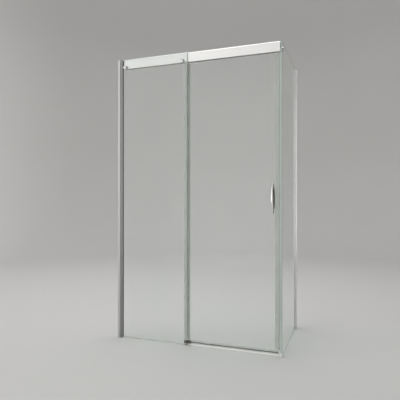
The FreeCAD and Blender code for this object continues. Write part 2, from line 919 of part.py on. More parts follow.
def bottom_guide():
    """Guide block on the sill with a slot for the door, its liners and screws."""
    slot_front = "door_middle - guide_slot / 2"
    slot_back = "door_middle + guide_slot / 2"
    base = "threshold_height + guide_floor"
    front = "threshold_front + guide_inset"
    back = "threshold_back - guide_inset"
    corners = [
        ("threshold_front + threshold_slope", "threshold_height"),
        ("threshold_back - threshold_slope", "threshold_height"),
        (back, base),
        (back, "guide_top"),
        (slot_back, "guide_top"),
        (slot_back, base),
        (slot_front, base),
        (slot_front, "guide_top"),
        (front, "guide_top"),
        (front, base),
    ]
    body = extrude("bottom_guide", "YZ_Plane", [corners], "guide_start", "guide_length")
    middle = "guide_start + guide_length / 2"
    spots = [
        (middle, f"({front} + {slot_front}) / 2"),
        (middle, f"({back} + {slot_back}) / 2"),
    ]
    bore(body, "XY_Plane", base, "guide_height", spots, "guide_screw_radius + guide_screw_play")
    for edge in (front, back):
        round_edges(body, line_at("x", edge, "guide_top"), "guide_round")
    keep(body)
    liners = []
    for name, start in (("front", slot_front), ("back", f"{slot_back} - liner_thickness")):
        section = box_corners(start, base, f"{start} + liner_thickness", "guide_top")
        liners.append(extrude("guide_liner_" + name, "YZ_Plane", [section], "guide_start", "guide_length"))
    group("guide_liners", liners)
    guide_screws(spots, base)


def guide_screws(spots, base):
    """Screws that hold the guide down."""
    top = "guide_top + guide_head_height"
    depth = "guide_socket_depth"
    section = [
        ("0", base),
        ("guide_screw_radius", base),
        ("guide_screw_radius", "guide_top"),
        ("guide_head_radius", "guide_top"),
        ("guide_head_radius", top),
        ("0", top),
    ]
    screws = []
    for count, (x, y) in enumerate(spots, start=1):
        screw = turned(f"guide_screw_{count}", section, role="XZ_Plane", x=x, y=y)
        sink(screw, "XY_Plane", f"{top} - {depth}", depth, "guide_socket_radius")
        screws.append(screw)
    group("guide_screws", screws)


def side_glass():
    """Side pane from the corner to the rear wall channel, drilled for the corner bolt."""
    corners = box_corners("side_inner", "0", "side_outer", "rear_wall - glass_back")
    body = extrude("side_glass", "XY_Plane", [corners], "floor_gap", "overall_height - floor_gap")
    grind_arris(body)
    spots = [("corner_bolt_y", "corner_bolt_z")]
    bore_through(body, "YZ_Plane", "side_inner", "glass_thickness", spots, "glass_hole_radius")
    return keep(body)


def side_jamb_seal():
    """Clear closing strip on the side glass and the magnet strip inside it."""
    foot = "side_inner - seal_wall"
    face = "side_inner - jamb_depth"
    low, high = "door_middle - chamber_width / 2", "door_middle + chamber_width / 2"
    corners = [
        ("side_inner", "door_middle - jamb_flange / 2"),
        ("side_inner", "door_middle + jamb_flange / 2"),
        (foot, "door_middle + jamb_flange / 2"),
        (foot, high),
        (face, high),
        (face, low),
        (foot, low),
        (foot, "door_middle - jamb_flange / 2"),
    ]
    magnet_strip("side_jamb_seal", "side_magnet", corners, f"{face} + seal_wall", "jamb_top")


def magnet_strip(seal, magnet, corners, near, top):
    """Seal with a closed chamber and the magnet strip that lies in it."""
    far = f"{near} + magnet_depth"
    low, high = "door_middle - magnet_width / 2", "door_middle + magnet_width / 2"
    strip = box_corners(near, low, far, high)
    chamber = box_corners(
        f"{near} - magnet_play",
        f"{low} - magnet_play",
        f"{far} + magnet_play",
        f"{high} + magnet_play",
    )
    length = f"{top} - seal_foot"
    keep(extrude(seal, "XY_Plane", [corners, chamber], "seal_foot", length))
    keep(extrude(magnet, "XY_Plane", [strip], "seal_foot", length))


def corner_foot():
    """Bright shoe that holds the lower front corner of the side glass."""
    left, right = "side_inner - foot_wall", "side_outer + foot_wall"
    corners = box_corners(left, "-foot_front", right, "foot_back")
    body = extrude("corner_foot", "XY_Plane", [corners], "0", "foot_height")
    slot = new_sketch(body, "XY_Plane", "floor_gap")
    draw_loop(slot, box_corners("side_inner", "0", "side_outer", "foot_back + drill_over"))
    cut(body, slot, "XY_Plane", "foot_height")
    for edge in (left, right):
        round_edges(body, line_at("z", edge, "-foot_front"), "foot_round")
    level, front = number("foot_height"), number("-foot_front")

    def front_rim(edge):
        box = edge.BoundBox
        flat = abs(box.ZMin - level) < NEAR and abs(box.ZMax - level) < NEAR
        return flat and box.YMax < 0 and box.YMin < front + NEAR

    round_edges(body, front_rim, "foot_rim")
    return keep(body)


def roller_spots():
    """List the sides and places of the two rollers along the door."""
    return [("left", "door_left + roller_inset"), ("right", "door_right - roller_inset")]


def handle_spots():
    """List the heights of the two posts of a handle."""
    return ["handle_height - post_rise", "handle_height + post_rise"]


def door_glass():
    """Sliding pane, drilled for its rollers and its handle studs."""
    corners = box_corners("door_left", "door_front", "door_right", "door_back")
    body = extrude("door_glass", "XY_Plane", [corners], "door_bottom", "door_top - door_bottom")
    grind_arris(body)
    rollers = [(x, "axle_height") for side, x in roller_spots()]
    studs = [("handle_x", z) for z in handle_spots()]
    for spots, hole in ((rollers, "bush_radius + bush_play"), (studs, "stud_radius + stud_clear")):
        bore_through(body, "XZ_Plane", "door_front", "glass_thickness", spots, hole)
    return keep(body)


def door_edge_seal():
    """Clear seal on the trailing edge of the door, with a fin towards the fixed glass."""
    near = "door_left + seal_grip"
    front, back = "door_front - seal_wall", "door_back + seal_wall"
    tip = "glass_thickness + seal_wall + seal_clear"
    corners = [
        (near, front),
        ("door_left + fin_root", front),
        ("door_left - fin_width", tip),
        ("door_left - 2 * fin_width", tip),
        ("door_left - seal_wall", front),
        ("door_left - seal_wall", back),
        (near, back),
        (near, "door_back"),
        ("door_left", "door_back"),
        ("door_left", "door_front"),
        (near, "door_front"),
    ]
    return keep(extrude("door_edge_seal", "XY_Plane", [corners], "seal_foot", "seal_top - seal_foot"))


def door_magnet_seal():
    """Clear seal on the closing edge of the door, with its magnet strip."""
    near = "door_right - seal_grip"
    far = "door_right + chamber_depth"
    low, high = "door_middle - chamber_width / 2", "door_middle + chamber_width / 2"
    corners = [
        (near, "door_front - seal_wall"),
        ("door_right", "door_front - seal_wall"),
        ("door_right", low),
        (far, low),
        (far, high),
        ("door_right", high),
        ("door_right", "door_back + seal_wall"),
        (near, "door_back + seal_wall"),
        (near, "door_back"),
        ("door_right", "door_back"),
        ("door_right", "door_front"),
        (near, "door_front"),
    ]
    near = f"{far} - seal_wall - magnet_depth"
    magnet_strip("door_magnet_seal", "door_magnet", corners, near, "seal_top")


def door_bottom_seal():
    """Clear clip on the lower edge of the door and the dark soft lip that sweeps the sill."""
    top = "seal_foot - sweep_drop"
    base = "door_bottom - seal_wall"
    half = "seal_wall / 2"
    corners = [
        ("door_front - seal_wall", top),
        ("door_front - seal_wall", base),
        ("door_back + seal_wall", base),
        ("door_back + seal_wall", top),
        ("door_back", top),
        ("door_back", "door_bottom"),
        ("door_front", "door_bottom"),
        ("door_front", top),
    ]
    start = "door_left + sweep_inset"
    length = f"door_right - sweep_inset - ({start})"
    keep(extrude("door_bottom_seal", "YZ_Plane", [corners], start, length))
    lip = box_corners(f"door_middle - {half}", "sweep_height", f"door_middle + {half}", base)
    keep(extrude("door_sweep_lip", "YZ_Plane", [lip], start, length))


def handle_section(share):
    """Oval section of the bow handle at a share of its half length, square to its curve."""
    oval = doc.addObject("Part::Ellipse", "handle_section")
    full = f"(1 - ({share}) * ({share}))"
    bind(oval, "MajorRadius", f"tip_half_width + (handle_half_width - tip_half_width) * {full}")
    bind(oval, "MinorRadius", f"tip_half_depth + (handle_half_depth - tip_half_depth) * {full}")
    slope = 4 * number("handle_bow") * share / number("handle_length")
    lean = FreeCAD.Rotation(FreeCAD.Vector(1, 0, 0), -math.degrees(math.atan(slope)))
    oval.Placement = FreeCAD.Placement(FreeCAD.Vector(), lean)
    out = f"door_front - tip_gap - handle_bow * {full}"
    place(oval, "handle_x", out, f"handle_height + handle_length / 2 * ({share})")
    return oval


def rod(name, radius, length, y, z):
    """Round bar of the handle that runs from front to back."""
    bar = doc.addObject("Part::Cylinder", name)
    bind(bar, "Radius", radius)
    bind(bar, "Height", length)
    bar.Placement = FreeCAD.Placement(FreeCAD.Vector(), FreeCAD.Rotation(FreeCAD.Vector(1, 0, 0), -90))
    place(bar, "handle_x", y, z)
    return bar


def handles():
    """Leaf shaped bow handle on two posts outside the door and its twin inside."""
    bow = doc.addObject("Part::Loft", "handle_bow_outer")
    bow.Sections = [handle_section(share) for share in HANDLE_SHARES]
    bow.Solid = True
    posts, bores = [], []
    reach = "post_bow - washer_thickness"
    depth = "stud_bite + drill_over"
    hole = "stud_radius + stud_play"
    deep = "door_front - washer_thickness - stud_bite"
    for z in handle_spots():
        posts.append(rod("handle_post", "post_radius", reach, "door_front - post_bow", z))
        bores.append(rod("handle_bore", hole, depth, deep, z))
    joined = doc.addObject("Part::MultiFuse", "handle_joined")
    joined.Shapes = [bow] + posts
    drilled = doc.addObject("Part::MultiFuse", "handle_bores")
    drilled.Shapes = bores
    outer = doc.addObject("Part::Cut", "handle_outer")
    outer.Base = joined
    outer.Tool = drilled
    outer.Label = "handle_outer"
    inner = doc.addObject("Part::Mirroring", "handle_inner")
    inner.Source = outer
    inner.Normal = FreeCAD.Vector(0, 1, 0)
    bind(inner, "Base.y", "frame_y + door_middle")
    inner.Label = "handle_inner"
    doc.recompute()
    keep(outer)
    keep(inner)
    handle_fasteners()


def handle_fasteners():
    """Studs through the door glass that join both handles, and the washers under the posts."""
    reach = "washer_thickness + stud_bite - stud_end_gap"
    start = f"door_front - ({reach})"
    length = f"glass_thickness + 2 * ({reach})"
    rim = "post_radius + post_washer_lip"
    section = ring("stud_radius + stud_play", rim, "0", "washer_thickness")
    studs, washers = [], []
    for z in handle_spots():
        studs.append(rod("handle_stud", "stud_radius", length, start, z))
        for y in ("door_front - washer_thickness", "door_back"):
            washers.append(turned("handle_washer", section, x="handle_x", y=y, z=z))
    group("handle_bolts", studs)
    group("handle_washers", washers)


def roller_hangers():
    """Axles, clamp discs, bushes and nuts that hang the door glass on its wheels."""
    head = "door_front - clamp_thickness"
    crown = f"{head} - axle_head_height"
    end = "header_back - header_wall - axle_end_gap"
    play = "bolt_radius + thread_play"
    axle = [
        ("0", crown),
        ("axle_head_radius", crown),
        ("axle_head_radius", head),
        ("bolt_radius", head),
        ("bolt_radius", end),
        ("0", end),
    ]
    clamp = ring(play, "clamp_radius", head, "door_front")
    bush = [
        (play, "door_front"),
        ("bush_radius", "door_front"),
        ("bush_radius", "door_back"),
        ("clamp_radius", "door_back"),
        ("clamp_radius", "door_back + clamp_thickness"),
        ("neck_radius", "door_back + clamp_thickness"),
        ("neck_radius", "bearing_front - roller_play"),
        (play, "bearing_front - roller_play"),
    ]
    seat = "bearing_back + roller_play"
    size = ("roller_nut_radius", seat, "roller_nut_height")
    axles, clamps, bushes, nuts = [], [], [], []
    for side, x in roller_spots():
        spot = {"x": x, "z": "axle_height"}
        body = turned("roller_axle_" + side, axle, **spot)
        sink(body, "XZ_Plane", f"{crown} - drill_over", "axle_socket_depth", "axle_socket_radius")
        axles.append(body)
        clamps.append(turned("roller_clamp_" + side, clamp, **spot))
        bushes.append(turned("roller_bush_" + side, bush, **spot))
        nuts.append(hex_nut("roller_nut_" + side, *size, **spot))
    group("roller_axles", axles)
    group("roller_clamp_discs", clamps)
    group("roller_bushes", bushes)
    group("roller_nuts", nuts)


def roller_wheels():
    """Grooved wheels that run on the header's ridge, each on its own bearing."""
    hub = "bearing_radius + wheel_play"
    rim = ring(hub, "wheel_radius", "wheel_front", "wheel_front + wheel_width")
    race = ring("bolt_radius + bearing_play", "bearing_radius", "bearing_front", "bearing_back")
    for side, x in roller_spots():
        spot = {"x": x, "z": "axle_height"}
        body = turned("roller_wheel_" + side, rim, **spot)
        before = body.Shape.Volume
        sketch = new_sketch(body, "XY_Plane")
        draw_circle(sketch, "groove_reach", "ridge_middle", "groove_radius")
        groove = body.newObject("PartDesign::Groove", body.Name + "_groove")
        groove.Profile = sketch
        groove.ReferenceAxis = (sketch, ["V_Axis"])
        groove.Angle = 360
        doc.recompute()
        must_shrink(body, before)
        keep(body)
        keep(turned("roller_bearing_" + side, race, **spot))


def build():
    """Build every node of the enclosure."""
    wall_posts()
    fixed_glass()
    fixed_edge_seal()
    floor_channels()
    header_rail()
    header_wall_bracket()
    corner_bracket()
    corner_fixing()
    fixing_sets()
    door_stops()
    threshold()
    bottom_guide()
    side_glass()
    side_jamb_seal()
    corner_foot()
    door_glass()
    door_edge_seal()
    door_magnet_seal()
    door_bottom_seal()
    handles()
    roller_hangers()
    roller_wheels()


def check_document():
    """Stop if any object of the document is in error or any node has no sound shape."""
    doc.recompute()
    for item in doc.Objects:
        if "Invalid" in item.State or "Error" in item.State:
            raise RuntimeError(f"{item.Label}: {item.State}")
    for node in nodes:
        shape = node.Shape
        if shape.isNull() or not shape.isValid() or not shape.Solids:
            raise RuntimeError(f"{node.Label}: no sound solid")


def write_nodes():
    """Write each node to its own file."""
    os.makedirs("parts", exist_ok=True)
    for node in nodes:
        node.Shape.exportStep(f"parts/{node.Label}.step")


places_sheet = fill_sheets()
build()
check_document()
write_nodes()
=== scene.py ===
"""Looks of a corner shower enclosure with a sliding glass door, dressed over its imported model."""

import logging
import math
from dataclasses import dataclass
from enum import Enum
from typing import Dict, List, Optional, Sequence, Tuple, Union

import bpy
import numpy as np
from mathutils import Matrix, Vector


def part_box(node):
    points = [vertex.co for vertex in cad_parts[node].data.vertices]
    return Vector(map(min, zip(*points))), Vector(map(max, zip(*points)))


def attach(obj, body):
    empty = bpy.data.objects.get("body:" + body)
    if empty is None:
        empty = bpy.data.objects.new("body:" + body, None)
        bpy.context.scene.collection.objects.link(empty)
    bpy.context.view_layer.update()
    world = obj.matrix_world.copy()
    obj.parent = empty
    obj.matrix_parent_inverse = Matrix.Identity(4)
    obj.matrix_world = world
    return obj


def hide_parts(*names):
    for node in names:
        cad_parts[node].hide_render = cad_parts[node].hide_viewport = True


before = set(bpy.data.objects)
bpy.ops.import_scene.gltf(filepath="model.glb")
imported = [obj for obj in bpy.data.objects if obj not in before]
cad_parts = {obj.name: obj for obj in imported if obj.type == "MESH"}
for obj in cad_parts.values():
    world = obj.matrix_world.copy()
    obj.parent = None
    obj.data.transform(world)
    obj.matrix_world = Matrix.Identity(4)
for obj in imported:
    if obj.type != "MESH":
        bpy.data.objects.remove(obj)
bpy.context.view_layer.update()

log = logging.getLogger("shower_enclosure")

MM = 0.001
WAVE_RADIANS = 20.0
CORNER_SHARE = 0.45
Triple = Tuple[float, float, float]
Colour = Triple
Point = Tuple[float, float]
Stops = Tuple[Point, ...]
Key = Union[int, str]


class Body(Enum):
    """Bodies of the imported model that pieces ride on."""

    FRAME = "frame"
    DOOR = "door"


class Run(Enum):
    """Axis that a profile is carried along, with the axes of the profile's own two numbers."""

    ALONG_X = (1, 2, 0)
    ALONG_Y = (2, 0, 1)
    ALONG_Z = (0, 1, 2)


class Wire:
    """An output of a node that takes part in sums as a plain number does."""

    def __init__(self, recipe: "Recipe", socket: Optional[bpy.types.NodeSocket]) -> None:
        """Keep the socket and the recipe that it belongs to."""
        self.recipe = recipe
        self.socket = socket

    def math(self, operation: str, first: "Value", second: "Value" = 0.0) -> "Wire":
        """Add one Math node to the recipe.

        Args:
            operation: Name of the node's operation.
            first: Left value or wire.
            second: Right value or wire.

        Returns:
            The node's result.
        """
        return self.recipe.node("ShaderNodeMath", {"operation": operation}, {0: first, 1: second})

    def __add__(self, other: "Value") -> "Wire":
        """Sum."""
        return self.math("ADD", self, other)

    def __radd__(self, other: "Value") -> "Wire":
        """Sum with the number first."""
        return self.math("ADD", other, self)

    def __sub__(self, other: "Value") -> "Wire":
        """Difference."""
        return self.math("SUBTRACT", self, other)

    def __rsub__(self, other: "Value") -> "Wire":
        """Difference with the number first."""
        return self.math("SUBTRACT", other, self)

    def __mul__(self, other: "Value") -> "Wire":
        """Product."""
        return self.math("MULTIPLY", self, other)

    def __rmul__(self, other: "Value") -> "Wire":
        """Product with the number first."""
        return self.math("MULTIPLY", other, self)


Value = Union[float, Wire]


class Recipe:
    """Node tree of one material or of the world."""

    def __init__(self, owner: Union[bpy.types.Material, bpy.types.World]) -> None:
        """Empty the owner's node tree."""
        owner.use_nodes = True
        self.tree = owner.node_tree
        self.tree.nodes.clear()

    def node(
        self,
        kind: str,
        settings: Optional[Dict[str, object]] = None,
        inputs: Optional[Dict[Key, object]] = None,
        output: Key = 0,
    ) -> Wire:
        """Add a node of any type.

        Args:
            kind: Type name of the node.
            settings: Properties that are set first; "stops" fills a colour ramp.
            inputs: Values or wires of its sockets, by name or number.
            output: Name or number of the output that is handed back.

        Returns:
            The chosen output, or an empty wire for a node without outputs.
        """
        made = self.tree.nodes.new(kind)
        for name, value in (settings or {}).items():
            if name == "stops":
                self.fill_ramp(made.color_ramp, value)
            else:
                setattr(made, name, value)
        for key, value in (inputs or {}).items():
            if isinstance(value, Wire):
                self.tree.links.new(value.socket, made.inputs[key])
            else:
                made.inputs[key].default_value = value
        return Wire(self, made.outputs[output] if made.outputs else None)

    @staticmethod
    def fill_ramp(ramp: bpy.types.ColorRamp, stops: Stops) -> None:
        """Give a colour ramp grey stops.

        Args:
            ramp: The ramp of a new node, which has two stops.
            stops: Place and grey level of each stop.
        """
        while len(ramp.elements) < len(stops):
            ramp.elements.new(1.0)
        for element, (place, level) in zip(ramp.elements, stops):
            element.position = place
            element.color = (level, level, level, 1.0)

    def place(self, scale: Triple) -> Wire:
        """Object coordinates stretched along each axis."""
        coordinates = self.node("ShaderNodeTexCoord", output="Object")
        return self.node("ShaderNodeMapping", inputs={"Vector": coordinates, "Scale": scale})

    def noise(self, scale: Triple, detail: float = 3.0, roughness: float = 0.5) -> Wire:
        """Cloudy pattern from 0 to 1 with its own grain along each axis.

        Args:
            scale: Number of cells per metre along x, y and z.
            detail: Number of finer layers.
            roughness: How strong the finer layers are.

        Returns:
            The pattern's level.
        """
        inputs = {"Vector": self.place(scale), "Scale": 1.0, "Detail": detail, "Roughness": roughness}
        return self.node("ShaderNodeTexNoise", inputs=inputs)

    def ramp(self, level: Wire, stops: Stops) -> Wire:
        """Level passed through a curve of straight pieces."""
        return self.node("ShaderNodeValToRGB", {"stops": stops}, {"Fac": level})

    def mix(self, share: Value, first: Colour, second: Colour) -> Wire:
        """Colour between two others."""
        inputs = {0: share, 6: (*first, 1.0), 7: (*second, 1.0)}
        return self.node("ShaderNodeMix", {"data_type": "RGBA"}, inputs, output=2)

    def bump(self, height: Wire, depth: float, strength: float = 1.0) -> Wire:
        """Normal of a surface that a pattern raises by at most a depth in metres."""
        inputs = {"Height": height, "Distance": depth, "Strength": strength}
        return self.node("ShaderNodeBump", inputs=inputs)

    def principled(self, inputs: Dict[Key, object]) -> Wire:
        """Main shader of a finish."""
        return self.node("ShaderNodeBsdfPrincipled", inputs=inputs)

    def close(self, surface: Wire, volume: Optional[Wire] = None) -> None:
        """Join the finished shader to the material's output.

        Args:
            surface: Shader of the surface.
            volume: Shader of the inside, where the material has one.
        """
        inputs = {"Surface": surface}
        if volume is not None:
            inputs["Volume"] = volume
        self.node("ShaderNodeOutputMaterial", inputs=inputs)


def shade(colour: Colour, share: float) -> Colour:
    """Colour made lighter or darker by a share, kept below white."""
    red, green, blue = (min(1.0, level * share) for level in colour)
    return red, green, blue


@dataclass(frozen=True)
class Finish:
    """One finish of the enclosure, named like its material slot in the record."""

    slot: str

    def fill(self, recipe: Recipe) -> None:
        """Write the finish into an empty recipe.

        Args:
            recipe: Empty recipe of the material.
        """
        raise NotImplementedError

    def material(self) -> bpy.types.Material:
        """Make the material once and then share it.

        Returns:
            The material of this finish.
        """
        found = bpy.data.materials.get(self.name)
        if found is None:
            found = bpy.data.materials.new(self.name)
            self.fill(Recipe(found))
        return found

    @property
    def name(self) -> str:
        """Name of the material: the title of a finish that shares a slot, or else the slot."""
        return getattr(self, "title", "") or f"finish_{self.slot}"


@dataclass(frozen=True)
class ClearGlass(Finish):
    """Toughened glass: clear, green along its edges, with the faint waves of the furnace rollers."""

    clear: Colour = (0.985, 0.995, 0.99)
    clouded: Colour = (0.965, 0.985, 0.975)
    lamp_tint: Colour = (0.955, 0.98, 0.968)
    body_tint: Colour = (0.55, 0.90, 0.76)
    density: float = 3.0
    ior: float = 1.5
    waves_per_metre: float = 3.6
    wave_depth: float = 0.00009
    wave_bend: float = 1.4
    film_cells: Triple = (5.0, 5.0, 2.4)
    film_stops: Stops = ((0.42, 0.0), (0.75, 1.0))
    haze: float = 0.012

    def fill(self, recipe: Recipe) -> None:
        """Clear shader with wavy normals and a trace of haze; lamps shine through it.

        Args:
            recipe: Empty recipe of the material.
        """
        bands = {"wave_type": "BANDS", "bands_direction": "Z", "wave_profile": "SIN"}
        waves = recipe.node("ShaderNodeTexWave", bands, {
            "Vector": recipe.place((1.0, 1.0, 1.0)),
            "Scale": self.waves_per_metre * 2.0 * math.pi / WAVE_RADIANS,
            "Distortion": self.wave_bend,
            "Detail": 1.0,
        }, output="Fac")
        film = recipe.ramp(recipe.noise(self.film_cells, 4.0), self.film_stops)
        glass = recipe.principled({
            "Base Color": recipe.mix(film, self.clear, self.clouded),
            "Roughness": film * self.haze,
            "IOR": self.ior,
            "Transmission Weight": 1.0,
            "Normal": recipe.bump(waves, self.wave_depth),
        })
        lamps = recipe.node("ShaderNodeBsdfTransparent", inputs={"Color": (*self.lamp_tint, 1.0)})
        shadow = recipe.node("ShaderNodeLightPath", output="Is Shadow Ray")
        surface = recipe.node("ShaderNodeMixShader", inputs={0: shadow, 1: glass, 2: lamps})
        inside = {"Color": (*self.body_tint, 1.0), "Density": self.density}
        recipe.close(surface, recipe.node("ShaderNodeVolumeAbsorption", inputs=inside))


@dataclass(frozen=True)
class GroundEdge(Finish):
    """Ground and polished rim of a glass pane, where the clear body looks pale green."""

    pale: Colour = (0.62, 0.71, 0.67)
    deep: Colour = (0.42, 0.54, 0.49)
    title: str = "finish_ground_edge"
    line_cells: Triple = (900.0, 900.0, 40.0)
    line_depth: float = 0.000008
    cloud_cells: Triple = (6.0, 6.0, 3.0)

    def fill(self, recipe: Recipe) -> None:
        """Satin skin with close grinding lines, lighter in soft patches.

        Args:
            recipe: Empty recipe of the material.
        """
        lines = recipe.noise(self.line_cells, 2.0)
        cloud = recipe.noise(self.cloud_cells)
        recipe.close(recipe.principled({
            "Base Color": recipe.mix(0.4 * lines + 0.6 * cloud, self.deep, self.pale),
            "Roughness": 0.2 + 0.15 * lines,
            "Coat Weight": 0.4 + 0.3 * cloud,
            "Normal": recipe.bump(lines, self.line_depth),
        }))


@dataclass(frozen=True)
class Aluminium(Finish):
    """Anodised extrusion with fine die lines along its length and a soft cloudy sheen."""

    colour: Colour = (0.9, 0.9, 0.89)
    roughness: float = 0.24
    line_cells: Triple = (1.5, 900.0, 900.0)
    line_depth: float = 0.000006
    cloud_cells: Triple = (4.0, 9.0, 4.0)
    title: str = ""

    def fill(self, recipe: Recipe) -> None:
        """Metal whose tone, gloss and normals follow the die lines.

        Args:
            recipe: Empty recipe of the material.
        """
        lines = recipe.noise(self.line_cells, roughness=0.6)
        cloud = recipe.noise(self.cloud_cells)
        tone = 0.6 * lines + 0.4 * cloud
        recipe.close(recipe.principled({
            "Base Color": recipe.mix(tone, shade(self.colour, 0.94), shade(self.colour, 1.05)),
            "Metallic": 1.0,
            "Roughness": self.roughness + 0.1 * (lines - 0.5) + 0.08 * (cloud - 0.5),
            "Normal": recipe.bump(lines, self.line_depth),
        }))


@dataclass(frozen=True)
class Chrome(Finish):
    """Polished plating with faint wiping marks and an almost flat orange peel."""

    colour: Colour = (0.68, 0.685, 0.69)
    roughness: float = 0.05
    title: str = ""
    mark_cells: Triple = (55.0, 55.0, 18.0)
    mark_stops: Stops = ((0.45, 0.0), (0.8, 1.0))
    peel_cells: Triple = (260.0, 260.0, 260.0)
    peel_depth: float = 0.000004

    def marks(self, recipe: Recipe) -> Wire:
        """Patches that wiping has dulled."""
        return recipe.ramp(recipe.noise(self.mark_cells, 5.0, 0.65), self.mark_stops)

    def peel(self, recipe: Recipe) -> Wire:
        """Normal of the orange peel."""
        return recipe.bump(recipe.noise(self.peel_cells, 2.0), self.peel_depth)

    def fill(self, recipe: Recipe) -> None:
        """Mirror metal that is a little duller where it is wiped.

        Args:
            recipe: Empty recipe of the material.
        """
        marks = self.marks(recipe)
        recipe.close(recipe.principled({
            "Base Color": recipe.mix(marks, self.colour, shade(self.colour, 0.93)),
            "Metallic": 1.0,
            "Roughness": self.roughness + 0.1 * marks,
            "Normal": self.peel(recipe),
        }))


@dataclass(frozen=True)
class ChromeWithPaintedShade(Chrome):
    """Chrome pull, polished in front, with painted shade on its back: near-black dull metal where it
    faces the glass.
    """

    colour: Colour = (0.94, 0.94, 0.94)
    roughness: float = 0.1
    title: str = "finish_chrome_painted_shade"
    # Near-black colour and dull gloss of the back: painted shade on the side that faces the glass.
    back_shade_colour: Colour = (0.06, 0.06, 0.06)
    back_shade_roughness: float = 0.45
    shade_mark: str = "cast_back"

    def fill(self, recipe: Recipe) -> None:
        """Mirror metal that gives way to painted shade, near black and dull, where the mesh marks the
        back.

        Args:
            recipe: Empty recipe of the material.
        """
        marks = self.marks(recipe)
        back = recipe.node("ShaderNodeAttribute", {"attribute_name": self.shade_mark}, output="Fac")
        duller = self.back_shade_roughness - self.roughness
        recipe.close(recipe.principled({
            # Where the mesh marks the back, the colour turns to the painted shade and the metal goes.
            "Base Color": recipe.mix(0.94 * back + 0.06 * marks, self.colour, self.back_shade_colour),
            "Metallic": 1.0 - back,
            "Roughness": self.roughness + 0.06 * marks + duller * back,
            "Normal": self.peel(recipe),
        }))


@dataclass(frozen=True)
class TurnedSteel(Finish):
    """Plain steel of bolts, axles and screws with fine tool marks."""

    colour: Colour = (0.66, 0.66, 0.65)
    roughness: float = 0.3
    mark_cells: Triple = (220.0, 1800.0, 220.0)
    mark_depth: float = 0.000012
    spot_cells: Triple = (90.0, 90.0, 90.0)

    def fill(self, recipe: Recipe) -> None:
        """Metal with close tool marks and darker spots in its skin.

        Args:
            recipe: Empty recipe of the material.
        """
        marks = recipe.noise(self.mark_cells)
        spots = recipe.noise(self.spot_cells, 4.0)
        recipe.close(recipe.principled({
            "Base Color": recipe.mix(spots, shade(self.colour, 0.85), shade(self.colour, 1.1)),
            "Metallic": 1.0,
            "Roughness": self.roughness + 0.15 * (marks - 0.5),
            "Normal": recipe.bump(marks, self.mark_depth),
        }))


@dataclass(frozen=True)
class ClearSeal(Finish):
    """Flexible clear strip with a pale green cast, drawn lines and a waxy gloss."""

    pale: Colour = (0.84, 0.88, 0.84)
    deep: Colour = (0.72, 0.77, 0.73)
    least_solid: float = 0.3
    roughness: float = 0.2
    title: str = ""
    line_cells: Triple = (700.0, 700.0, 1.2)
    line_depth: float = 0.00001
    cloud_cells: Triple = (8.0, 8.0, 5.0)
    rim_blend: float = 0.35

    def fill(self, recipe: Recipe) -> None:
        """Half clear plastic that is denser at grazing sight and along its drawn lines.

        Args:
            recipe: Empty recipe of the material.
        """
        lines = recipe.noise(self.line_cells, 2.0)
        cloud = recipe.noise(self.cloud_cells)
        rim = recipe.node("ShaderNodeLayerWeight", inputs={"Blend": self.rim_blend}, output="Facing")
        recipe.close(recipe.principled({
            "Base Color": recipe.mix(0.5 * lines + 0.5 * cloud, self.deep, self.pale),
            "Roughness": self.roughness + 0.12 * (lines - 0.5),
            "Alpha": self.least_solid + 0.1 * cloud + 0.3 * rim,
            "Normal": recipe.bump(lines, self.line_depth),
        }))


@dataclass(frozen=True)
class Moulding(Finish):
    """Moulded plastic with an even fine grain and slight flow clouds."""

    colour: Colour = (0.2, 0.2, 0.2)
    roughness: float = 0.42
    grain_depth: float = 0.00002
    grain_cells: Triple = (1500.0, 1500.0, 1500.0)
    flow_cells: Triple = (45.0, 45.0, 30.0)

    def fill(self, recipe: Recipe) -> None:
        """Plain plastic with a grained skin.

        Args:
            recipe: Empty recipe of the material.
        """
        grain = recipe.noise(self.grain_cells, 2.0)
        flow = recipe.noise(self.flow_cells)
        recipe.close(recipe.principled({
            "Base Color": recipe.mix(flow, shade(self.colour, 0.82), shade(self.colour, 1.12)),
            "Roughness": self.roughness + 0.16 * (grain - 0.5),
            "Normal": recipe.bump(grain, self.grain_depth),
        }))


@dataclass(frozen=True)
class Rubber(Finish):
    """Dark rubber with a dusty bloom and drawn lines."""

    colour: Colour = (0.07, 0.069, 0.066)
    bloom: Colour = (0.14, 0.138, 0.13)
    line_cells: Triple = (900.0, 900.0, 3.0)
    line_depth: float = 0.00002
    dust_cells: Triple = (60.0, 60.0, 12.0)
    dust_stops: Stops = ((0.4, 0.0), (0.8, 1.0))

    def fill(self, recipe: Recipe) -> None:
        """Matt dark skin with a lighter bloom in patches.

        Args:
            recipe: Empty recipe of the material.
        """
        lines = recipe.noise(self.line_cells, 2.0)
        dust = recipe.ramp(recipe.noise(self.dust_cells, 4.0), self.dust_stops)
        recipe.close(recipe.principled({
            "Base Color": recipe.mix(dust, self.colour, self.bloom),
            "Roughness": 0.5 + 0.2 * dust,
            "Normal": recipe.bump(lines, self.line_depth),
        }))


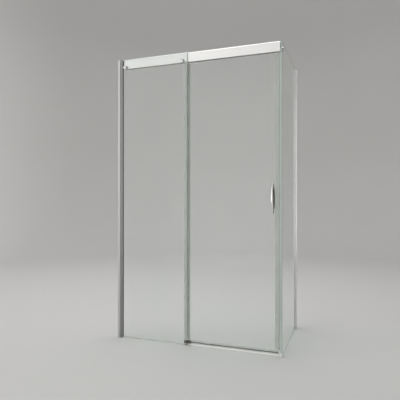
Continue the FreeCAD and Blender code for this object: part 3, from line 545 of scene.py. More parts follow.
class Finishes:
    """The finishes of the enclosure, each with the material slot of the record that it belongs to."""

    UPRIGHT = (900.0, 900.0, 1.5)
    glass = ClearGlass("clear_glass")
    edge = GroundEdge("clear_glass")
    # Paler copy of the ground edge for the tops of the panes: painted highlight of light caught along
    # the top.
    crest = GroundEdge(
        "clear_glass", (0.9, 0.94, 0.91), (0.78, 0.85, 0.81), "finish_crest_painted_highlight"
    )
    bright = Aluminium("bright_aluminium", (0.93, 0.93, 0.925), 0.38)
    sill = Aluminium("bright_aluminium", (0.9, 0.895, 0.885), 0.44, title="finish_brushed_sill")
    satin = Aluminium("satin_aluminium", (0.93, 0.93, 0.93), 0.19, UPRIGHT)
    # Much darker copy of the satin aluminium: painted shade for the left wall channel.
    matt = Aluminium(
        "satin_aluminium", (0.56, 0.565, 0.57), 0.42, UPRIGHT, title="finish_satin_painted_shade"
    )
    # Its dark colour is painted shade on the left glass channel; the right glass channel takes the
    # bright satin.
    dull = Aluminium("dull_aluminium", (0.33, 0.335, 0.33), 0.34, UPRIGHT)
    chrome = Chrome("chrome_metal")
    satin_chrome = Chrome("chrome_metal", (0.92, 0.92, 0.92), 0.36, "finish_satin_chrome")
    cap_chrome = Chrome("chrome_metal", (0.64, 0.64, 0.645), 0.07, "finish_cap_chrome")
    pull_chrome = ChromeWithPaintedShade("chrome_metal")
    steel = TurnedSteel("plain_steel")
    seal = ClearSeal("clear_seal")
    # Paler, more solid copy of the clear seal: painted light that keeps the closing strip and the
    # right gasket from showing their shade.
    jamb = ClearSeal(
        "clear_seal", (0.88, 0.91, 0.88), (0.78, 0.82, 0.79), 0.62, title="finish_closing_seal_painted_light"
    )
    film = ClearSeal(
        "clear_seal", (0.82, 0.85, 0.82), (0.72, 0.76, 0.73), 0.1, title="finish_clear_film"
    )
    rubber = Rubber("dark_rubber")
    plastic = Moulding("grey_plastic", (0.17, 0.165, 0.155))
    nylon = Moulding("white_nylon", (0.8, 0.8, 0.77), 0.36, 0.000012)
    # Pale colour is painted light: it keeps the magnet in its narrow, shaded gap from rendering dark.
    magnet = Rubber("magnet_strip", (0.70, 0.72, 0.69), (0.78, 0.80, 0.77))


@dataclass
class Surface:
    """Mesh data of one or more closed shells whose faces point outwards."""

    vertices: np.ndarray
    faces: List[Sequence[int]]

    def joined(self, other: "Surface") -> "Surface":
        """Put this surface and another one together.

        Args:
            other: The other surface.

        Returns:
            Both in one.
        """
        first = len(self.vertices)
        moved = [[index + first for index in face] for face in other.faces]
        return Surface(np.vstack([self.vertices, other.vertices]), self.faces + moved)

    def object(self, name: str, sharp_degrees: float = 35.0) -> bpy.types.Object:
        """Put the surface into the scene as a mesh.

        Args:
            name: Name of the object and its mesh.
            sharp_degrees: Angle between faces above which their edge stays sharp.

        Returns:
            The new object, at the origin.
        """
        mesh = bpy.data.meshes.new(name)
        mesh.from_pydata(self.vertices.tolist(), [], [list(face) for face in self.faces])
        mesh.polygons.foreach_set("use_smooth", np.ones(len(mesh.polygons), bool))
        mesh.set_sharp_from_angle(angle=math.radians(sharp_degrees))
        mesh.validate()
        made = bpy.data.objects.new(name, mesh)
        bpy.context.scene.collection.objects.link(made)
        return made


def rounded(corners: Sequence[Point], radius: float, steps: int = 5) -> np.ndarray:
    """Round the corners of a closed outline.

    Each corner gives way to a short curve: a point at t is (1-t)^2 times the start, plus 2t(1-t)
    times the corner, plus t^2 times the end, where start and end lie a cut away along the two sides.
    The cut is the radius, or the corner share of the shorter side where that is less.

    Args:
        corners: Points of the outline, in order.
        radius: Length cut off each side at a corner.
        steps: Points of each small curve.

    Returns:
        The rounded outline.
    """
    points = np.asarray(corners, float)
    along = np.roll(points, -1, 0) - points
    length = np.linalg.norm(along, axis=1)
    way = along / length[:, None]
    shorter = np.minimum(length, np.roll(length, 1))
    cut = np.minimum(radius, CORNER_SHARE * shorter)[:, None]
    start = points - np.roll(way, 1, 0) * cut
    end = points + way * cut
    t = np.linspace(0.0, 1.0, steps)[None, :, None]
    curve = (1 - t) ** 2 * start[:, None] + 2 * t * (1 - t) * points[:, None] + t**2 * end[:, None]
    return curve.reshape(-1, 2)


def carried(profile: np.ndarray, start: float, end: float, run: Run) -> Surface:
    """Carry a closed profile along a straight path and close both ends.

    A point of the surface has the profile's two numbers on the run's first two axes and a place
    between start and end on the third.

    Args:
        profile: Closed outline, in metres.
        start: Where the run begins.
        end: Where it ends.
        run: Axis of the run.

    Returns:
        The closed strip.
    """
    beyond = np.roll(profile, -1, 0)
    area = np.sum(profile[:, 0] * beyond[:, 1] - beyond[:, 0] * profile[:, 1])
    profile = profile if area > 0.0 else profile[::-1]
    count = len(profile)
    vertices = np.zeros((2 * count, 3))
    first, second, third = run.value
    vertices[:, first] = np.tile(profile[:, 0], 2)
    vertices[:, second] = np.tile(profile[:, 1], 2)
    vertices[:, third] = np.repeat([start, end], count)
    here = np.arange(count)
    following = np.roll(here, -1)
    sides = np.stack([here, following, following + count, here + count], 1)
    return Surface(vertices, [*sides.tolist(), here[::-1].tolist(), (here + count).tolist()])


def lofted(rings: np.ndarray, first: np.ndarray, last: np.ndarray) -> Surface:
    """Skin rings of points into a closed shell with a point at each end.

    Args:
        rings: Rings by points by three, each ring turning anticlockwise seen against the way on.
        first: Point that closes the start.
        last: Point that closes the end.

    Returns:
        The closed shell.
    """
    stations, around = rings.shape[:2]
    vertices = np.vstack([rings.reshape(-1, 3), first, last])
    here = np.arange(around)
    following = np.roll(here, -1)
    base = (np.arange(stations - 1) * around)[:, None]
    lower, upper = base + here, base + following
    quads = np.stack([lower, upper, upper + around, lower + around], -1)
    tip = stations * around
    top = tip - around
    start = np.stack([np.full(around, tip), following, here], 1)
    end = np.stack([top + here, top + following, np.full(around, tip + 1)], 1)
    return Surface(vertices, [*quads.reshape(-1, 4).tolist(), *start.tolist(), *end.tolist()])


def turned(profile: np.ndarray, centre: Triple, axis: Triple, around: int = 64) -> Surface:
    """Turn a profile about an axis.

    A point of the surface is the centre, plus the height along the axis, plus the radius times the
    cosine and the sine of the angle along two directions square to it.

    Args:
        profile: Radius and height of each ring, from a point on the axis to another one.
        centre: Where height is nothing.
        axis: Direction of the axis.
        around: Points of each ring.

    Returns:
        The closed shell.
    """
    up = np.asarray(axis, float)
    side = np.roll(np.abs(up), 1)
    other = np.cross(up, side)
    angle = np.linspace(0.0, 2.0 * math.pi, around, endpoint=False)
    spokes = np.cos(angle)[:, None] * side + np.sin(angle)[:, None] * other
    spine = np.asarray(centre, float) + profile[:, 1:] * up
    rings = spine[1:-1, None] + profile[1:-1, :1, None] * spokes[None]
    return lofted(rings, spine[0], spine[-1])


def dress(finish: Finish, *nodes: str) -> None:
    """Give carried-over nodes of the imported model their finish.

    Args:
        finish: The finish.
        nodes: Names of the nodes.
    """
    for name in nodes:
        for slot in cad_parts[name].material_slots:
            slot.material = finish.material()
        log.info("dressed %s in %s", name, finish.slot)


def add_piece(
    name: str, surface: Surface, finish: Finish, body: Body, *nodes: str
) -> bpy.types.Object:
    """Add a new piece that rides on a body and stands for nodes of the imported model.

    Args:
        name: Name of the piece.
        surface: Its mesh data.
        finish: Its finish.
        body: The body that it moves with.
        nodes: Names of the nodes that it stands for.

    Returns:
        The piece's object.
    """
    made = surface.object(name)
    made.data.materials.append(finish.material())
    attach(made, body.value)
    if nodes:
        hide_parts(*nodes)
    log.info("built %s for %s", name, ", ".join(nodes) or "a rim")
    return made


@dataclass
class RoundCap:
    """Crowned cap in front of a bolt."""

    wall: float = 2.0 * MM
    bevel: float = 0.4 * MM
    back_share: float = 0.6
    crown_power: float = 0.7
    crown_steps: int = 15

    def shell(self, radius: float, height: float, centre: Triple, axis: Triple) -> Surface:
        """Turn the cap: flat back, short wall and a crown.

        On the crown the radius is that of the cap times the cosine of an angle to the crown power,
        and the height is the wall plus the rest of the height times the sine to the crown power.

        Args:
            radius: Radius of the cap.
            height: Height of the middle of the crown.
            centre: Middle of the back.
            axis: Way from the back to the crown.

        Returns:
            The closed cap.
        """
        angle = np.linspace(0.0, math.pi / 2, self.crown_steps)
        crown = np.stack([
            radius * np.cos(angle).clip(0.0) ** self.crown_power,
            self.wall + (height - self.wall) * np.sin(angle) ** self.crown_power,
        ], 1)
        crown[-1, 0] = 0.0
        rim = radius - self.bevel
        back = [[0.0, 0.0], [self.back_share * radius, 0.0], [rim, 0.0], [radius, self.bevel]]
        return turned(np.vstack([back, crown]), centre, axis)


@dataclass
class WallPosts:
    """Wall channels, glass channels, gaskets, caps and lock screws of both wall posts."""

    gasket_clear: float = 0.05 * MM
    lip_round: float = 0.9 * MM

    def gasket(self, side: str, pane: str, across: int, finish: Finish) -> None:
        """Build one gasket as a U with soft lips, carried up the post.

        Args:
            side: Side of the post, "left" or "right".
            pane: Node of the glass in the gasket.
            across: Axis of the glass thickness, 0 or 1.
            finish: Finish of the gasket.
        """
        name = f"glass_gasket_{side}"
        low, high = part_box(name)
        glass_low, glass_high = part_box(pane)
        thin, thick = low[across], high[across]
        face = glass_low[across] - self.gasket_clear
        back = glass_high[across] + self.gasket_clear
        if across == 1:
            lip, root, seat = high[0], low[0], glass_low[0] - self.gasket_clear
        else:
            lip, root, seat = low[1], high[1], glass_high[1] + self.gasket_clear
        outline = [
            (root, thin), (lip, thin), (lip, face), (seat, face),
            (seat, back), (lip, back), (lip, thick), (root, thick),
        ]
        if across == 0:
            outline = [(second, first) for first, second in outline]
        strip = carried(rounded(outline, self.lip_round), low[2], high[2], Run.ALONG_Z)
        add_piece(f"soft_gasket_{side}", strip, finish, Body.FRAME, name)

    def build(self) -> None:
        """Build the gaskets."""
        self.gasket("left", "fixed_glass", 1, Finishes.rubber)
        # The right gasket takes the pale closing seal, not dark rubber: painted light, so no shade
        # line shows at the rear post.
        self.gasket("right", "side_glass", 0, Finishes.jamb)

    def dress(self) -> None:
        """Finish the channels, caps and screws."""
        # The posts take lit and shaded copies of their aluminium: the right glass channel the bright
        # satin, the left wall and glass channels dark colours, as painted light and shade.
        dress(Finishes.satin, "wall_channel_right", "glass_channel_right")
        dress(Finishes.matt, "wall_channel_left")
        dress(Finishes.dull, "glass_channel_left")
        dress(Finishes.plastic, "channel_cap_left", "channel_cap_right")
        dress(Finishes.steel, "channel_screws_left", "channel_screws_right")


@dataclass
class EdgeStrip:
    """Sizes and sections that the clear strips share."""

    wall: float = 1.2 * MM
    clear: float = 0.05 * MM
    corner: float = 0.5 * MM
    fin_bow: float = 1.6 * MM
    fin_width: float = 1.2 * MM
    fin_root: float = 0.4 * MM

    def clip(self, edge: float, grip: float, front: float, back: float) -> List[Point]:
        """Lay the inner corners of the clip on a pane's edge.

        Args:
            edge: Place of the pane's edge.
            grip: Place of the ends of the lips.
            front: Front face of the pane.
            back: Back face of the pane.

        Returns:
            Corners from the back lip round to the front lip.
        """
        beyond = edge + math.copysign(self.clear, edge - grip)
        near, far = front - self.clear, back + self.clear
        return [(grip, far), (beyond, far), (beyond, near), (grip, near)]

    def fin(self, root: Point, tip: Point, bow: float, steps: int = 7) -> List[Point]:
        """Lay one side of a bowed fin: the way from root to tip, pushed aside by bow times 4t(1-t).

        Args:
            root: Where the side begins.
            tip: Where it ends.
            bow: How far its middle is pushed along the first axis.
            steps: Number of points.

        Returns:
            The points from root to tip.
        """
        t = np.linspace(0.0, 1.0, steps)
        x = root[0] + (tip[0] - root[0]) * t + bow * 4.0 * t * (1.0 - t)
        y = root[1] + (tip[1] - root[1]) * t
        return list(zip(x.tolist(), y.tolist()))

    def lower_strip(self, name: str, node: str, pane: str, across: int, body: Body) -> None:
        """Build a clear U round the lower edge of a pane, carried along that edge.

        Args:
            name: Name of the piece.
            node: Node that the strip stands for.
            pane: Node of the glass that stands in it.
            across: Axis of the glass thickness, 0 or 1.
            body: The body that it moves with.
        """
        low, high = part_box(node)
        glass_low, glass_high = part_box(pane)
        near, far = glass_low[across] - self.clear, glass_high[across] + self.clear
        seat = glass_low[2] - self.clear
        front, back, top = low[across], high[across], high[2]
        profile = rounded([
            (front, low[2]), (back, low[2]), (back, top), (far, top),
            (far, seat), (near, seat), (near, top), (front, top),
        ], self.corner)
        if across == 1:
            strip = carried(profile, low[0], high[0], Run.ALONG_X)
        else:
            strip = carried(profile[:, ::-1], low[1], high[1], Run.ALONG_Y)
        add_piece(name, strip, Finishes.film, body, node)

    def magnet(self, node: str, body: Body) -> None:
        """Build the magnet bar inside a closing strip, as a soft-cornered bar carried up the edge.

        Args:
            node: Node of the magnet.
            body: The body that it moves with.
        """
        low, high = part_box(node)
        outline = [(low[0], low[1]), (high[0], low[1]), (high[0], high[1]), (low[0], high[1])]
        bar = carried(rounded(outline, self.corner), low[2], high[2], Run.ALONG_Z)
        add_piece(f"soft_{node}", bar, Finishes.magnet, body, node)


@dataclass
class GlassRim:
    """Thin skin that gives the bare edge of a pane its ground look."""

    arris: float = 0.8 * MM
    skirt: float = 2.2 * MM
    inner: float = 0.01 * MM
    outer: float = 0.04 * MM

    def profile(self, first: float, second: float, edge: float, way: float) -> np.ndarray:
        """Outline of the skin: two bevels and a flat, as outer and inner lines close together.

        Args:
            first: One face of the pane.
            second: Its other face.
            edge: Place of the edge.
            way: Way out of the pane, -1 or 1.

        Returns:
            Points with the place across the pane first and the place of the edge second.
        """
        across = np.array([first, first + self.arris, second - self.arris, second])
        along = edge - way * np.array([self.arris, 0.0, 0.0, self.arris])
        outside = np.stack([across, along + way * self.outer], 1)
        inside = np.stack([across, along + way * self.inner], 1)[::-1]
        return np.vstack([outside, inside])

    def hood(self, first: float, second: float, edge: float) -> np.ndarray:
        """Outline of the skin on a square upper edge: a flat with a short skirt down each face.

        Args:
            first: One face of the pane.
            second: Its other face.
            edge: Height of the edge.

        Returns:
            Points with the place across the pane first and the height second.
        """
        hem = edge - self.skirt
        near, far, crest = first - self.outer, second + self.outer, edge + self.outer
        outside = [(near, hem), (near, crest), (far, crest), (far, hem)]
        near, far, crest = first - self.inner, second + self.inner, edge + self.inner
        inside = [(far, hem), (far, crest), (near, crest), (near, hem)]
        return np.array(outside + inside)


@dataclass
class FixedPane(EdgeStrip):
    """Fixed front glass with its edge seal, floor strip and round header fixings."""

    def edge_seal(self) -> None:
        """Build the clear clip on the free edge, with a bowed fin towards the door."""
        low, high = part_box("fixed_edge_seal")
        glass_low, glass_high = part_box("fixed_glass")
        edge, front, back = glass_high[0], glass_low[1], glass_high[1]
        outer = edge + self.wall
        rear = back + self.wall
        root, tip = (edge - self.fin_root, rear), (high[0] - self.fin_width, high[1])
        outline = [(low[0], front - self.wall), (outer, front - self.wall)]
        outline += self.fin((outer, rear), (high[0], high[1]), self.fin_bow)
        outline += self.fin(root, tip, self.fin_bow)[::-1]
        outline += [(low[0], rear)]
        outline += self.clip(edge, low[0], front, back)
        strip = carried(rounded(outline, self.corner), low[2], high[2], Run.ALONG_Z)
        add_piece("soft_fixed_edge_seal", strip, Finishes.seal, Body.FRAME, "fixed_edge_seal")

    def caps(self) -> None:
        """Build both round caps in front of the header bolts."""
        low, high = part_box("fixing_caps")
        radius, middle = (high[2] - low[2]) / 2, (low[2] + high[2]) / 2
        left, right = (
            RoundCap().shell(radius, high[1] - low[1], (x, high[1], middle), (0.0, -1.0, 0.0))
            for x in (low[0] + radius, high[0] - radius)
        )
        caps = left.joined(right)
        add_piece("crowned_fixing_caps", caps, Finishes.cap_chrome, Body.FRAME, "fixing_caps")

    def rims(self) -> None:
        """Build the ground rims on the top of the glass and on its free edge above the seal."""
        low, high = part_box("fixed_glass")
        top = GlassRim().hood(low[1], high[1], high[2])
        crest = carried(top, low[0], high[0], Run.ALONG_X)
        # The top rim wears the paler crest: painted highlight.
        add_piece("fixed_glass_top_rim", crest, Finishes.crest, Body.FRAME)
        free = GlassRim().profile(low[1], high[1], high[0], 1.0)[:, ::-1]
        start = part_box("fixed_edge_seal")[1][2]
        side = carried(free, start, high[2], Run.ALONG_Z)
        add_piece("fixed_glass_free_rim", side, Finishes.edge, Body.FRAME)

    def build(self) -> None:
        """Build the seal, the floor strip, the caps and the rims."""
        self.edge_seal()
        self.lower_strip(
            "soft_fixed_floor_strip", "fixed_floor_channel", "fixed_glass", 1, Body.FRAME
        )
        self.caps()
        self.rims()

    def dress(self) -> None:
        """Finish the glass and the hidden fixings."""
        dress(Finishes.glass, "fixed_glass")
        dress(Finishes.seal, "fixing_washers")
        dress(Finishes.steel, "fixing_bolts", "fixing_nuts")


@dataclass
class Header:
    """Header rail with the brackets and stops inside it."""

    pad: float = 3.0 * MM
    pad_round: float = 1.3 * MM
    pad_heel: float = 0.3 * MM

    def bumper(self, back: float, front: float) -> Surface:
        """Carry one rubber pad up its stop, with square heels and a round nose to the door.

        Args:
            back: Place of the stop's face.
            front: Place of the nose.

        Returns:
            The closed pad.
        """
        low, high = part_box("door_stop_bumpers")
        heel = back + math.copysign(self.pad_heel, front - back)
        outline = [
            (back, low[1]), (heel, low[1]), (front, low[1]),
            (front, high[1]), (heel, high[1]), (back, high[1]),
        ]
        return carried(rounded(outline, self.pad_round), low[2], high[2], Run.ALONG_Z)

    def build(self) -> None:
        """Build the rubber pads on both door stops."""
        low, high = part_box("door_stop_bumpers")
        left = self.bumper(low[0], low[0] + self.pad)
        pads = left.joined(self.bumper(high[0], high[0] - self.pad))
        add_piece("soft_stop_bumpers", pads, Finishes.rubber, Body.FRAME, "door_stop_bumpers")

    def dress(self) -> None:
        """Finish the rail, brackets and stops."""
        dress(Finishes.bright, "header_rail")
        dress(Finishes.plastic, "header_wall_bracket", "door_stops")
        dress(Finishes.chrome, "corner_bracket")


@dataclass
class SidePane(EdgeStrip):
    """Side glass with its closing strip, floor strip, corner foot and corner bolt."""

    chamber_round: float = 1.6 * MM
    chamber_half: float = 7.0 * MM

    def jamb_seal(self) -> None:
        """Build the closing strip: a thin flange on the glass with a rounded chamber."""
        low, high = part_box("side_jamb_seal")
        middle = (low[1] + high[1]) / 2
        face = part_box("side_glass")[0][0] - self.clear
        foot = face - self.wall
        front, back = middle - self.chamber_half, middle + self.chamber_half
        outline = [
            (face, low[1]), (face, high[1]), (foot, high[1]), (foot, back),
            (low[0], back), (low[0], front), (foot, front), (foot, low[1]),
        ]
        strip = carried(rounded(outline, self.chamber_round), low[2], high[2], Run.ALONG_Z)
        add_piece("soft_side_jamb_seal", strip, Finishes.jamb, Body.FRAME, "side_jamb_seal")

    def corner_cap(self) -> None:
        """Build the crowned cap on the outside of the corner bolt."""
        low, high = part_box("corner_cap")
        radius = (high[2] - low[2]) / 2
        centre = (low[0], (low[1] + high[1]) / 2, (low[2] + high[2]) / 2)
        cap = RoundCap().shell(radius, high[0] - low[0], centre, (1.0, 0.0, 0.0))
        add_piece("crowned_corner_cap", cap, Finishes.chrome, Body.FRAME, "corner_cap")

    def rims(self) -> None:
        """Build the ground rims on the top of the glass and on its front edge above the foot."""
        low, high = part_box("side_glass")
        top = GlassRim().hood(low[0], high[0], high[2])[:, ::-1]
        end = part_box("glass_channel_right")[0][1]
        crest = carried(top, low[1], end, Run.ALONG_Y)
        # The top rim wears the paler crest: painted highlight.
        add_piece("side_glass_top_rim", crest, Finishes.crest, Body.FRAME)
        front = GlassRim().profile(low[0], high[0], low[1], -1.0)
        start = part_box("corner_foot")[1][2]
        side = carried(front, start, high[2], Run.ALONG_Z)
        add_piece("side_glass_front_rim", side, Finishes.edge, Body.FRAME)

    def build(self) -> None:
        """Build the closing strip, its magnet, the floor strip, the corner cap and the rims."""
        self.jamb_seal()
        self.magnet("side_magnet", Body.FRAME)
        self.lower_strip("soft_side_floor_strip", "side_floor_channel", "side_glass", 0, Body.FRAME)
        self.corner_cap()
        self.rims()

    def dress(self) -> None:
        """Finish the glass, washers, foot and bolt."""
        dress(Finishes.glass, "side_glass")
        dress(Finishes.seal, "corner_washers")
        dress(Finishes.satin_chrome, "corner_foot")
        dress(Finishes.steel, "corner_bolt")


@dataclass
class Threshold:
    """Low sill under the door with its end cap and the door's bottom guide."""

    liner: float = 1.0 * MM
    liner_round: float = 0.45 * MM

    def liners(self) -> None:
        """Build the guide's slide liners: thin pads with round lips, carried along the door's way."""
        low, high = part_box("guide_liners")
        pads = []
        for front in (low[1], high[1] - self.liner):
            back = front + self.liner
            outline = [(front, low[2]), (back, low[2]), (back, high[2]), (front, high[2])]
            pads.append(carried(rounded(outline, self.liner_round), low[0], high[0], Run.ALONG_X))
        liners = pads[0].joined(pads[1])
        add_piece("guide_slide_liners", liners, Finishes.nylon, Body.FRAME, "guide_liners")

    def build(self) -> None:
        """Build the liners; the sill keeps its shape."""
        self.liners()

    def dress(self) -> None:
        """Finish the sill, guide and screws."""
        dress(Finishes.sill, "threshold_strip")
        dress(Finishes.plastic, "threshold_end_cap", "bottom_guide")
        dress(Finishes.steel, "guide_screws")


@dataclass
class BowHandle:
    """Leaf shaped bow handle on two flared posts."""

    half_width: float = 8.0 * MM
    tip_width: float = 2.6 * MM
    half_depth: float = 4.5 * MM
    tip_depth: float = 2.0 * MM
    bow: float = 26.0 * MM
    tip_gap: float = 2.3 * MM
    front_power: float = 2.6
    back_share: float = 0.7
    end_power: int = 40
    end_least: float = 0.02
    end_share: float = 0.9
    post_share: float = 0.72
    post_radius: float = 4.6 * MM
    post_steps: int = 17
    foot_flare: float = 1.2 * MM
    head_flare: float = 0.5 * MM
    washer: float = 1.0 * MM
    stations: int = 61
    around: int = 40

    def mark_shaded_back(self, mesh: bpy.types.Mesh) -> None:
        """Mark the points on the back of the leaf, where shade is painted, with one and all others
        with nothing.

        The leaf's sections come first in the mesh, and the second half of each lies on its back.

        Args:
            mesh: Mesh of a whole handle.
        """
        marks = np.zeros(len(mesh.vertices))
        back = np.arange(self.around) > self.around // 2
        marks[:self.stations * self.around] = np.tile(back, self.stations)
        mark = mesh.attributes.new(Finishes.pull_chrome.shade_mark, "FLOAT", "POINT")
        mark.data.foreach_set("value", marks)

    def leaf(self, centre: Triple, half: float, out: float) -> Surface:
        """Skin the bow of the handle.

        At a share s of the half length, the middle of the section stands tip gap plus bow times
        (1 - s^2) out from the glass. The section is square to that curve. Its half width and half
        depth grow from the tips to the middle by (1 - s^2), and round off at the very tips by the
        square root of (1 - |s|^end power). Its front is a soft swell: at a share c of the half width
        it stands (1 - |c|^front power) of the half depth out. Its back is a flat half oval.

        Args:
            centre: Point on the glass at the middle of the handle.
            half: Half the length.
            out: Way from the glass along y, -1 or 1.

        Returns:
            The closed leaf.
        """
        s = np.sin(np.linspace(-0.5, 0.5, self.stations) * math.pi)
        full = 1.0 - s * s
        ends = np.sqrt((1.0 - np.abs(s) ** self.end_power).clip(self.end_least))
        width = (self.tip_width + (self.half_width - self.tip_width) * full) * ends
        depth = (self.tip_depth + (self.half_depth - self.tip_depth) * full) * ends
        rise = self.tip_gap + self.bow * full
        spine = np.stack([np.zeros_like(s), out * rise, half * s], 1) + np.asarray(centre)
        slope = -2.0 * self.bow * s / half
        normal = np.stack([np.zeros_like(s), out * np.ones_like(s), -slope], 1)
        normal /= np.linalg.norm(normal, axis=1)[:, None]
        angle = np.linspace(0.0, 2.0 * math.pi, self.around, endpoint=False)
        swell = 1.0 - np.abs(np.cos(angle)) ** self.front_power
        lift = np.where(np.sin(angle) < 0.0, self.back_share * np.sin(angle), swell)
        aside = np.array([out, 0.0, 0.0])
        across = (width[:, None] * np.cos(angle))[..., None] * aside
        proud = (depth[:, None] * lift)[..., None] * normal[:, None]
        rings = spine[:, None] + across + proud
        end = np.array([0.0, 0.0, self.end_share * self.tip_depth])
        return lofted(rings, spine[0] - end, spine[-1] + end)

    def post(self, centre: Triple, out: float) -> Surface:
        """Turn one post.

        At a share t of its height, the radius is a waist plus the foot flare times (1 - t)^4 plus the
        head flare times t^3.

        Args:
            centre: Point on the glass under the post.
            out: Way from the glass along y, -1 or 1.

        Returns:
            The closed post.
        """
        reach = self.tip_gap + self.bow * (1.0 - self.post_share**2)
        t = np.linspace(0.0, 1.0, self.post_steps)
        radius = self.post_radius + self.foot_flare * (1.0 - t) ** 4 + self.head_flare * t**3
        height = self.washer + (reach - self.washer) * t
        ring = np.stack([radius, height], 1)
        profile = np.vstack([[0.0, height[0]], ring, [0.0, height[-1]]])
        return turned(profile, centre, (0.0, out, 0.0), self.around)

    def build(self, node: str, name: str, face: float, out: float) -> None:
        """Build one handle in place of a node.

        Args:
            node: Node that the handle stands for.
            name: Name of the piece.
            face: Place of the glass face that carries it.
            out: Way from the glass along y, -1 or 1.
        """
        low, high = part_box(node)
        middle, level = (low[0] + high[0]) / 2, (low[2] + high[2]) / 2
        half = (high[2] - low[2]) / 2 - self.tip_depth
        handle = self.leaf((middle, face, level), half, out)
        for side in (-1.0, 1.0):
            spot = (middle, face, level + side * self.post_share * half)
            handle = handle.joined(self.post(spot, out))
        made = add_piece(name, handle, Finishes.pull_chrome, Body.DOOR, node)
        self.mark_shaded_back(made.data)


@dataclass
class SlidingDoor(EdgeStrip):
    """Sliding glass with its seals, handles and the rollers that hang it in the header."""

    chamber_half: float = 7.0 * MM
    chamber_round: float = 1.5 * MM
    lip_bow: float = 0.3 * MM

    def edge_seal(self) -> None:
        """Build the clear clip on the trailing edge, with a bowed fin towards the fixed glass."""
        low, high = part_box("door_edge_seal")
        glass_low, glass_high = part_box("door_glass")
        edge, front, back = glass_low[0], glass_low[1], glass_high[1]
        outer, face, rear = edge - self.wall, front - self.wall, back + self.wall
        root, tip = (edge + self.fin_root, face), (low[0] + self.fin_width, low[1])
        outline = [(high[0], rear), (outer, rear)]
        outline += self.fin((outer, face), (low[0], low[1]), -self.fin_bow)
        outline += self.fin(root, tip, -self.fin_bow)[::-1]
        outline += [(high[0], face)]
        outline += self.clip(edge, high[0], front, back)[::-1]
        strip = carried(rounded(outline, self.corner), low[2], high[2], Run.ALONG_Z)
        add_piece("soft_door_edge_seal", strip, Finishes.seal, Body.DOOR, "door_edge_seal")

    def magnet_seal(self) -> None:
        """Build the closing clip: grips the glass and ends in a rounded chamber."""
        low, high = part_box("door_magnet_seal")
        glass_low, glass_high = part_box("door_glass")
        edge, front, back = glass_high[0], glass_low[1], glass_high[1]
        middle = (front + back) / 2
        face, rear = front - self.wall, back + self.wall
        near, far = middle - self.chamber_half, middle + self.chamber_half
        outline = [
            (low[0], face), (edge, face), (edge, near), (high[0], near),
            (high[0], far), (edge, far), (edge, rear), (low[0], rear),
        ]
        outline += self.clip(edge, low[0], front, back)
        strip = carried(rounded(outline, self.chamber_round), low[2], high[2], Run.ALONG_Z)
        add_piece("soft_door_magnet_seal", strip, Finishes.seal, Body.DOOR, "door_magnet_seal")

    def sweep_lip(self) -> None:
        """Build the dark lip over the sill, whose dark rubber also paints in the shadow line under the
        door: a thin blade, bowed by 4t(1-t) over its height t.
        """
        low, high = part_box("door_sweep_lip")
        root, tip = (low[1], high[2]), (low[1], low[2])
        near = self.fin(root, tip, self.lip_bow)
        far = [(y + high[1] - low[1] - self.lip_bow, z) for y, z in near[::-1]]
        strip = carried(rounded(near + far, self.corner), low[0], high[0], Run.ALONG_X)
        add_piece("soft_door_sweep_lip", strip, Finishes.rubber, Body.DOOR, "door_sweep_lip")

    def build(self) -> None:
        """Build the seals, the magnet and both handles."""
        self.edge_seal()
        self.magnet_seal()
        self.magnet("door_magnet", Body.DOOR)
        self.lower_strip("soft_door_lower_clip", "door_bottom_seal", "door_glass", 1, Body.DOOR)
        self.sweep_lip()
        glass_low, glass_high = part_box("door_glass")
        handle = BowHandle()
        handle.build("handle_outer", "bow_handle_outside", glass_low[1], -1.0)
        handle.build("handle_inner", "bow_handle_inside", glass_high[1], 1.0)

    def dress(self) -> None:
        """Finish the glass, washers and rollers."""
        dress(Finishes.glass, "door_glass")
        dress(Finishes.seal, "handle_washers")
        dress(Finishes.steel, "handle_bolts", "roller_axles", "roller_clamp_discs", "roller_nuts")
        dress(Finishes.steel, "roller_bearing_left", "roller_bearing_right")
        dress(Finishes.nylon, "roller_bushes", "roller_wheel_left", "roller_wheel_right")


@dataclass
class Lamp:
    """One soft panel of light."""

    name: str
    place: Triple
    aim: Triple
    size: Point
    radiance: float

    def build(self) -> None:
        """Hang the panel and turn it to its aim."""
        data = bpy.data.lights.new(self.name, "AREA")
        data.shape = "RECTANGLE"
        data.size, data.size_y = self.size
        data.energy = self.radiance * math.pi * self.size[0] * self.size[1]
        made = bpy.data.objects.new(self.name, data)
        made.location = self.place
        way = Vector(self.aim) - Vector(self.place)
        made.rotation_euler = way.to_track_quat("-Z", "Y").to_euler()
        bpy.context.scene.collection.objects.link(made)


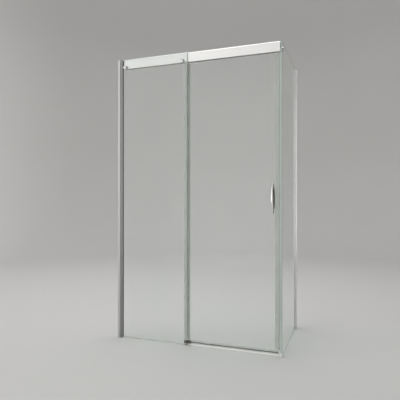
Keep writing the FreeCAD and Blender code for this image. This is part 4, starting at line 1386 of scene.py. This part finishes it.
@dataclass
class Studio:
    """Plain pale floor that rises into a round backdrop with painted shade on one side, soft lamps and
    the camera.
    """

    floor_radius: float = 4.6
    cove: float = 2.2
    wall_top: float = 6.4
    drop: float = 0.4 * MM
    first_ring: float = 0.3
    floor_rings: int = 8
    cove_rings: int = 23
    wall_rings: int = 4
    around: int = 96
    sharp_degrees: float = 60.0
    colour: Colour = (0.62, 0.615, 0.606)
    roughness: float = 0.85
    specular: float = 0.2
    cloud_cells: Triple = (0.7, 0.7, 0.7)
    cloud_share: float = 0.04
    # Painted shade: the backdrop darkens along this way, so that metal mirrors a dark wall.
    backdrop_shade_colour: Colour = (0.2, 0.199, 0.196)
    backdrop_shade_way: Triple = (0.134, -0.049, 0.0)
    backdrop_shade_stops: Stops = ((0.66, 0.0), (0.9, 1.0))
    world_colour: Colour = (1.0, 1.0, 1.0)
    world_level: float = 0.55
    camera_place: Triple = (1.0146, -3.0264, 0.9914)
    camera_turn: float = 0.3489
    lens: float = 38.31
    sensor: float = 36.0

    def bowl(self) -> None:
        """Build floor and backdrop in one: a disc, a quarter circle and a wall, turned round."""
        bend = np.linspace(0.0, math.pi / 2, self.cove_rings + 1)[1:]
        edge = self.floor_radius + self.cove
        radius = np.concatenate([
            np.linspace(self.first_ring, 1.0, self.floor_rings) * self.floor_radius,
            self.floor_radius + self.cove * np.sin(bend),
            np.full(self.wall_rings, edge),
        ])
        height = np.concatenate([
            np.zeros(self.floor_rings),
            self.cove * (1.0 - np.cos(bend)),
            np.linspace(self.cove, self.wall_top, self.wall_rings + 1)[1:],
        ]) - self.drop
        turn = np.linspace(0.0, 2.0 * math.pi, self.around, endpoint=False)
        x = radius[:, None] * np.cos(turn)
        y = radius[:, None] * np.sin(turn)
        rings = np.stack([x, y, np.broadcast_to(height[:, None], x.shape)], -1)
        skin = lofted(rings[::-1], rings[-1, 0], np.array([0.0, 0.0, -self.drop]))
        lid = len(radius) * self.around
        skin.faces = [face for face in skin.faces if lid not in face]
        made = skin.object("studio_floor", self.sharp_degrees)
        made.data.flip_normals()
        made.data.materials.append(self.floor_material())

    def floor_material(self) -> bpy.types.Material:
        """Mix matt pale paint with faint clouds and painted shade: the wall on one side, which bright
        metal mirrors, is painted darker.

        Returns:
            The material of floor and backdrop.
        """
        made = bpy.data.materials.new("studio_paint")
        recipe = Recipe(made)
        cloud = recipe.noise(self.cloud_cells)
        product = {"operation": "DOT_PRODUCT"}
        way = {0: recipe.place((1.0, 1.0, 1.0)), 1: self.backdrop_shade_way}
        # Painted shade of the backdrop, rising along the given way.
        reach = recipe.node("ShaderNodeVectorMath", product, way, output="Value")
        dark = recipe.ramp(reach, self.backdrop_shade_stops)
        tone = (1.0 - self.cloud_share) * dark + self.cloud_share * cloud
        recipe.close(recipe.principled({
            "Base Color": recipe.mix(tone, self.colour, self.backdrop_shade_colour),
            "Roughness": self.roughness,
            "Specular IOR Level": self.specular,
        }))
        return made

    def world(self) -> None:
        """Even light from above the backdrop."""
        made = bpy.data.worlds.new("studio_world")
        bpy.context.scene.world = made
        recipe = Recipe(made)
        inputs = {"Color": (*self.world_colour, 1.0), "Strength": self.world_level}
        sky = recipe.node("ShaderNodeBackground", inputs=inputs)
        recipe.node("ShaderNodeOutputWorld", inputs={"Surface": sky})

    def lamps(self) -> None:
        """Hang the soft panels."""
        for lamp in (
            Lamp("front_bounce", (-2.4, -3.7, 5.4), (-3.9, -5.8, 3.9), (3.8, 1.8), 4.5),
            Lamp("front_wash", (-0.4, -4.0, 2.0), (-0.4, -7.0, 1.2), (4.0, 2.4), 3.5),
            Lamp("left_wash", (-3.8, -1.3, 3.0), (-6.7, -1.8, 2.8), (4.4, 4.2), 2.7),
            Lamp("top_panel", (-0.2, 0.6, 5.4), (0.0, 0.0, 0.0), (4.0, 3.4), 3.0),
        ):
            lamp.build()

    def camera(self) -> None:
        """Set up the camera of the picture: level, a little right of the middle."""
        data = bpy.data.cameras.new("camera")
        data.sensor_width = self.sensor
        data.lens = self.lens
        made = bpy.data.objects.new("camera", data)
        made.location = self.camera_place
        made.rotation_euler = (math.pi / 2, 0.0, self.camera_turn)
        bpy.context.scene.collection.objects.link(made)
        bpy.context.scene.camera = made

    def build(self) -> None:
        """Build the whole studio."""
        self.camera()
        self.bowl()
        self.world()
        self.lamps()
        bpy.context.scene.view_settings.view_transform = "Standard"


def main() -> None:
    """Build the studio and every sub-assembly, and report each piece."""
    logging.basicConfig(level=logging.INFO, format="%(message)s")
    Studio().build()
    for assembly in (WallPosts(), FixedPane(), Header(), SidePane(), Threshold(), SlidingDoor()):
        assembly.build()
        assembly.dress()


if __name__ == "__main__":
    main()
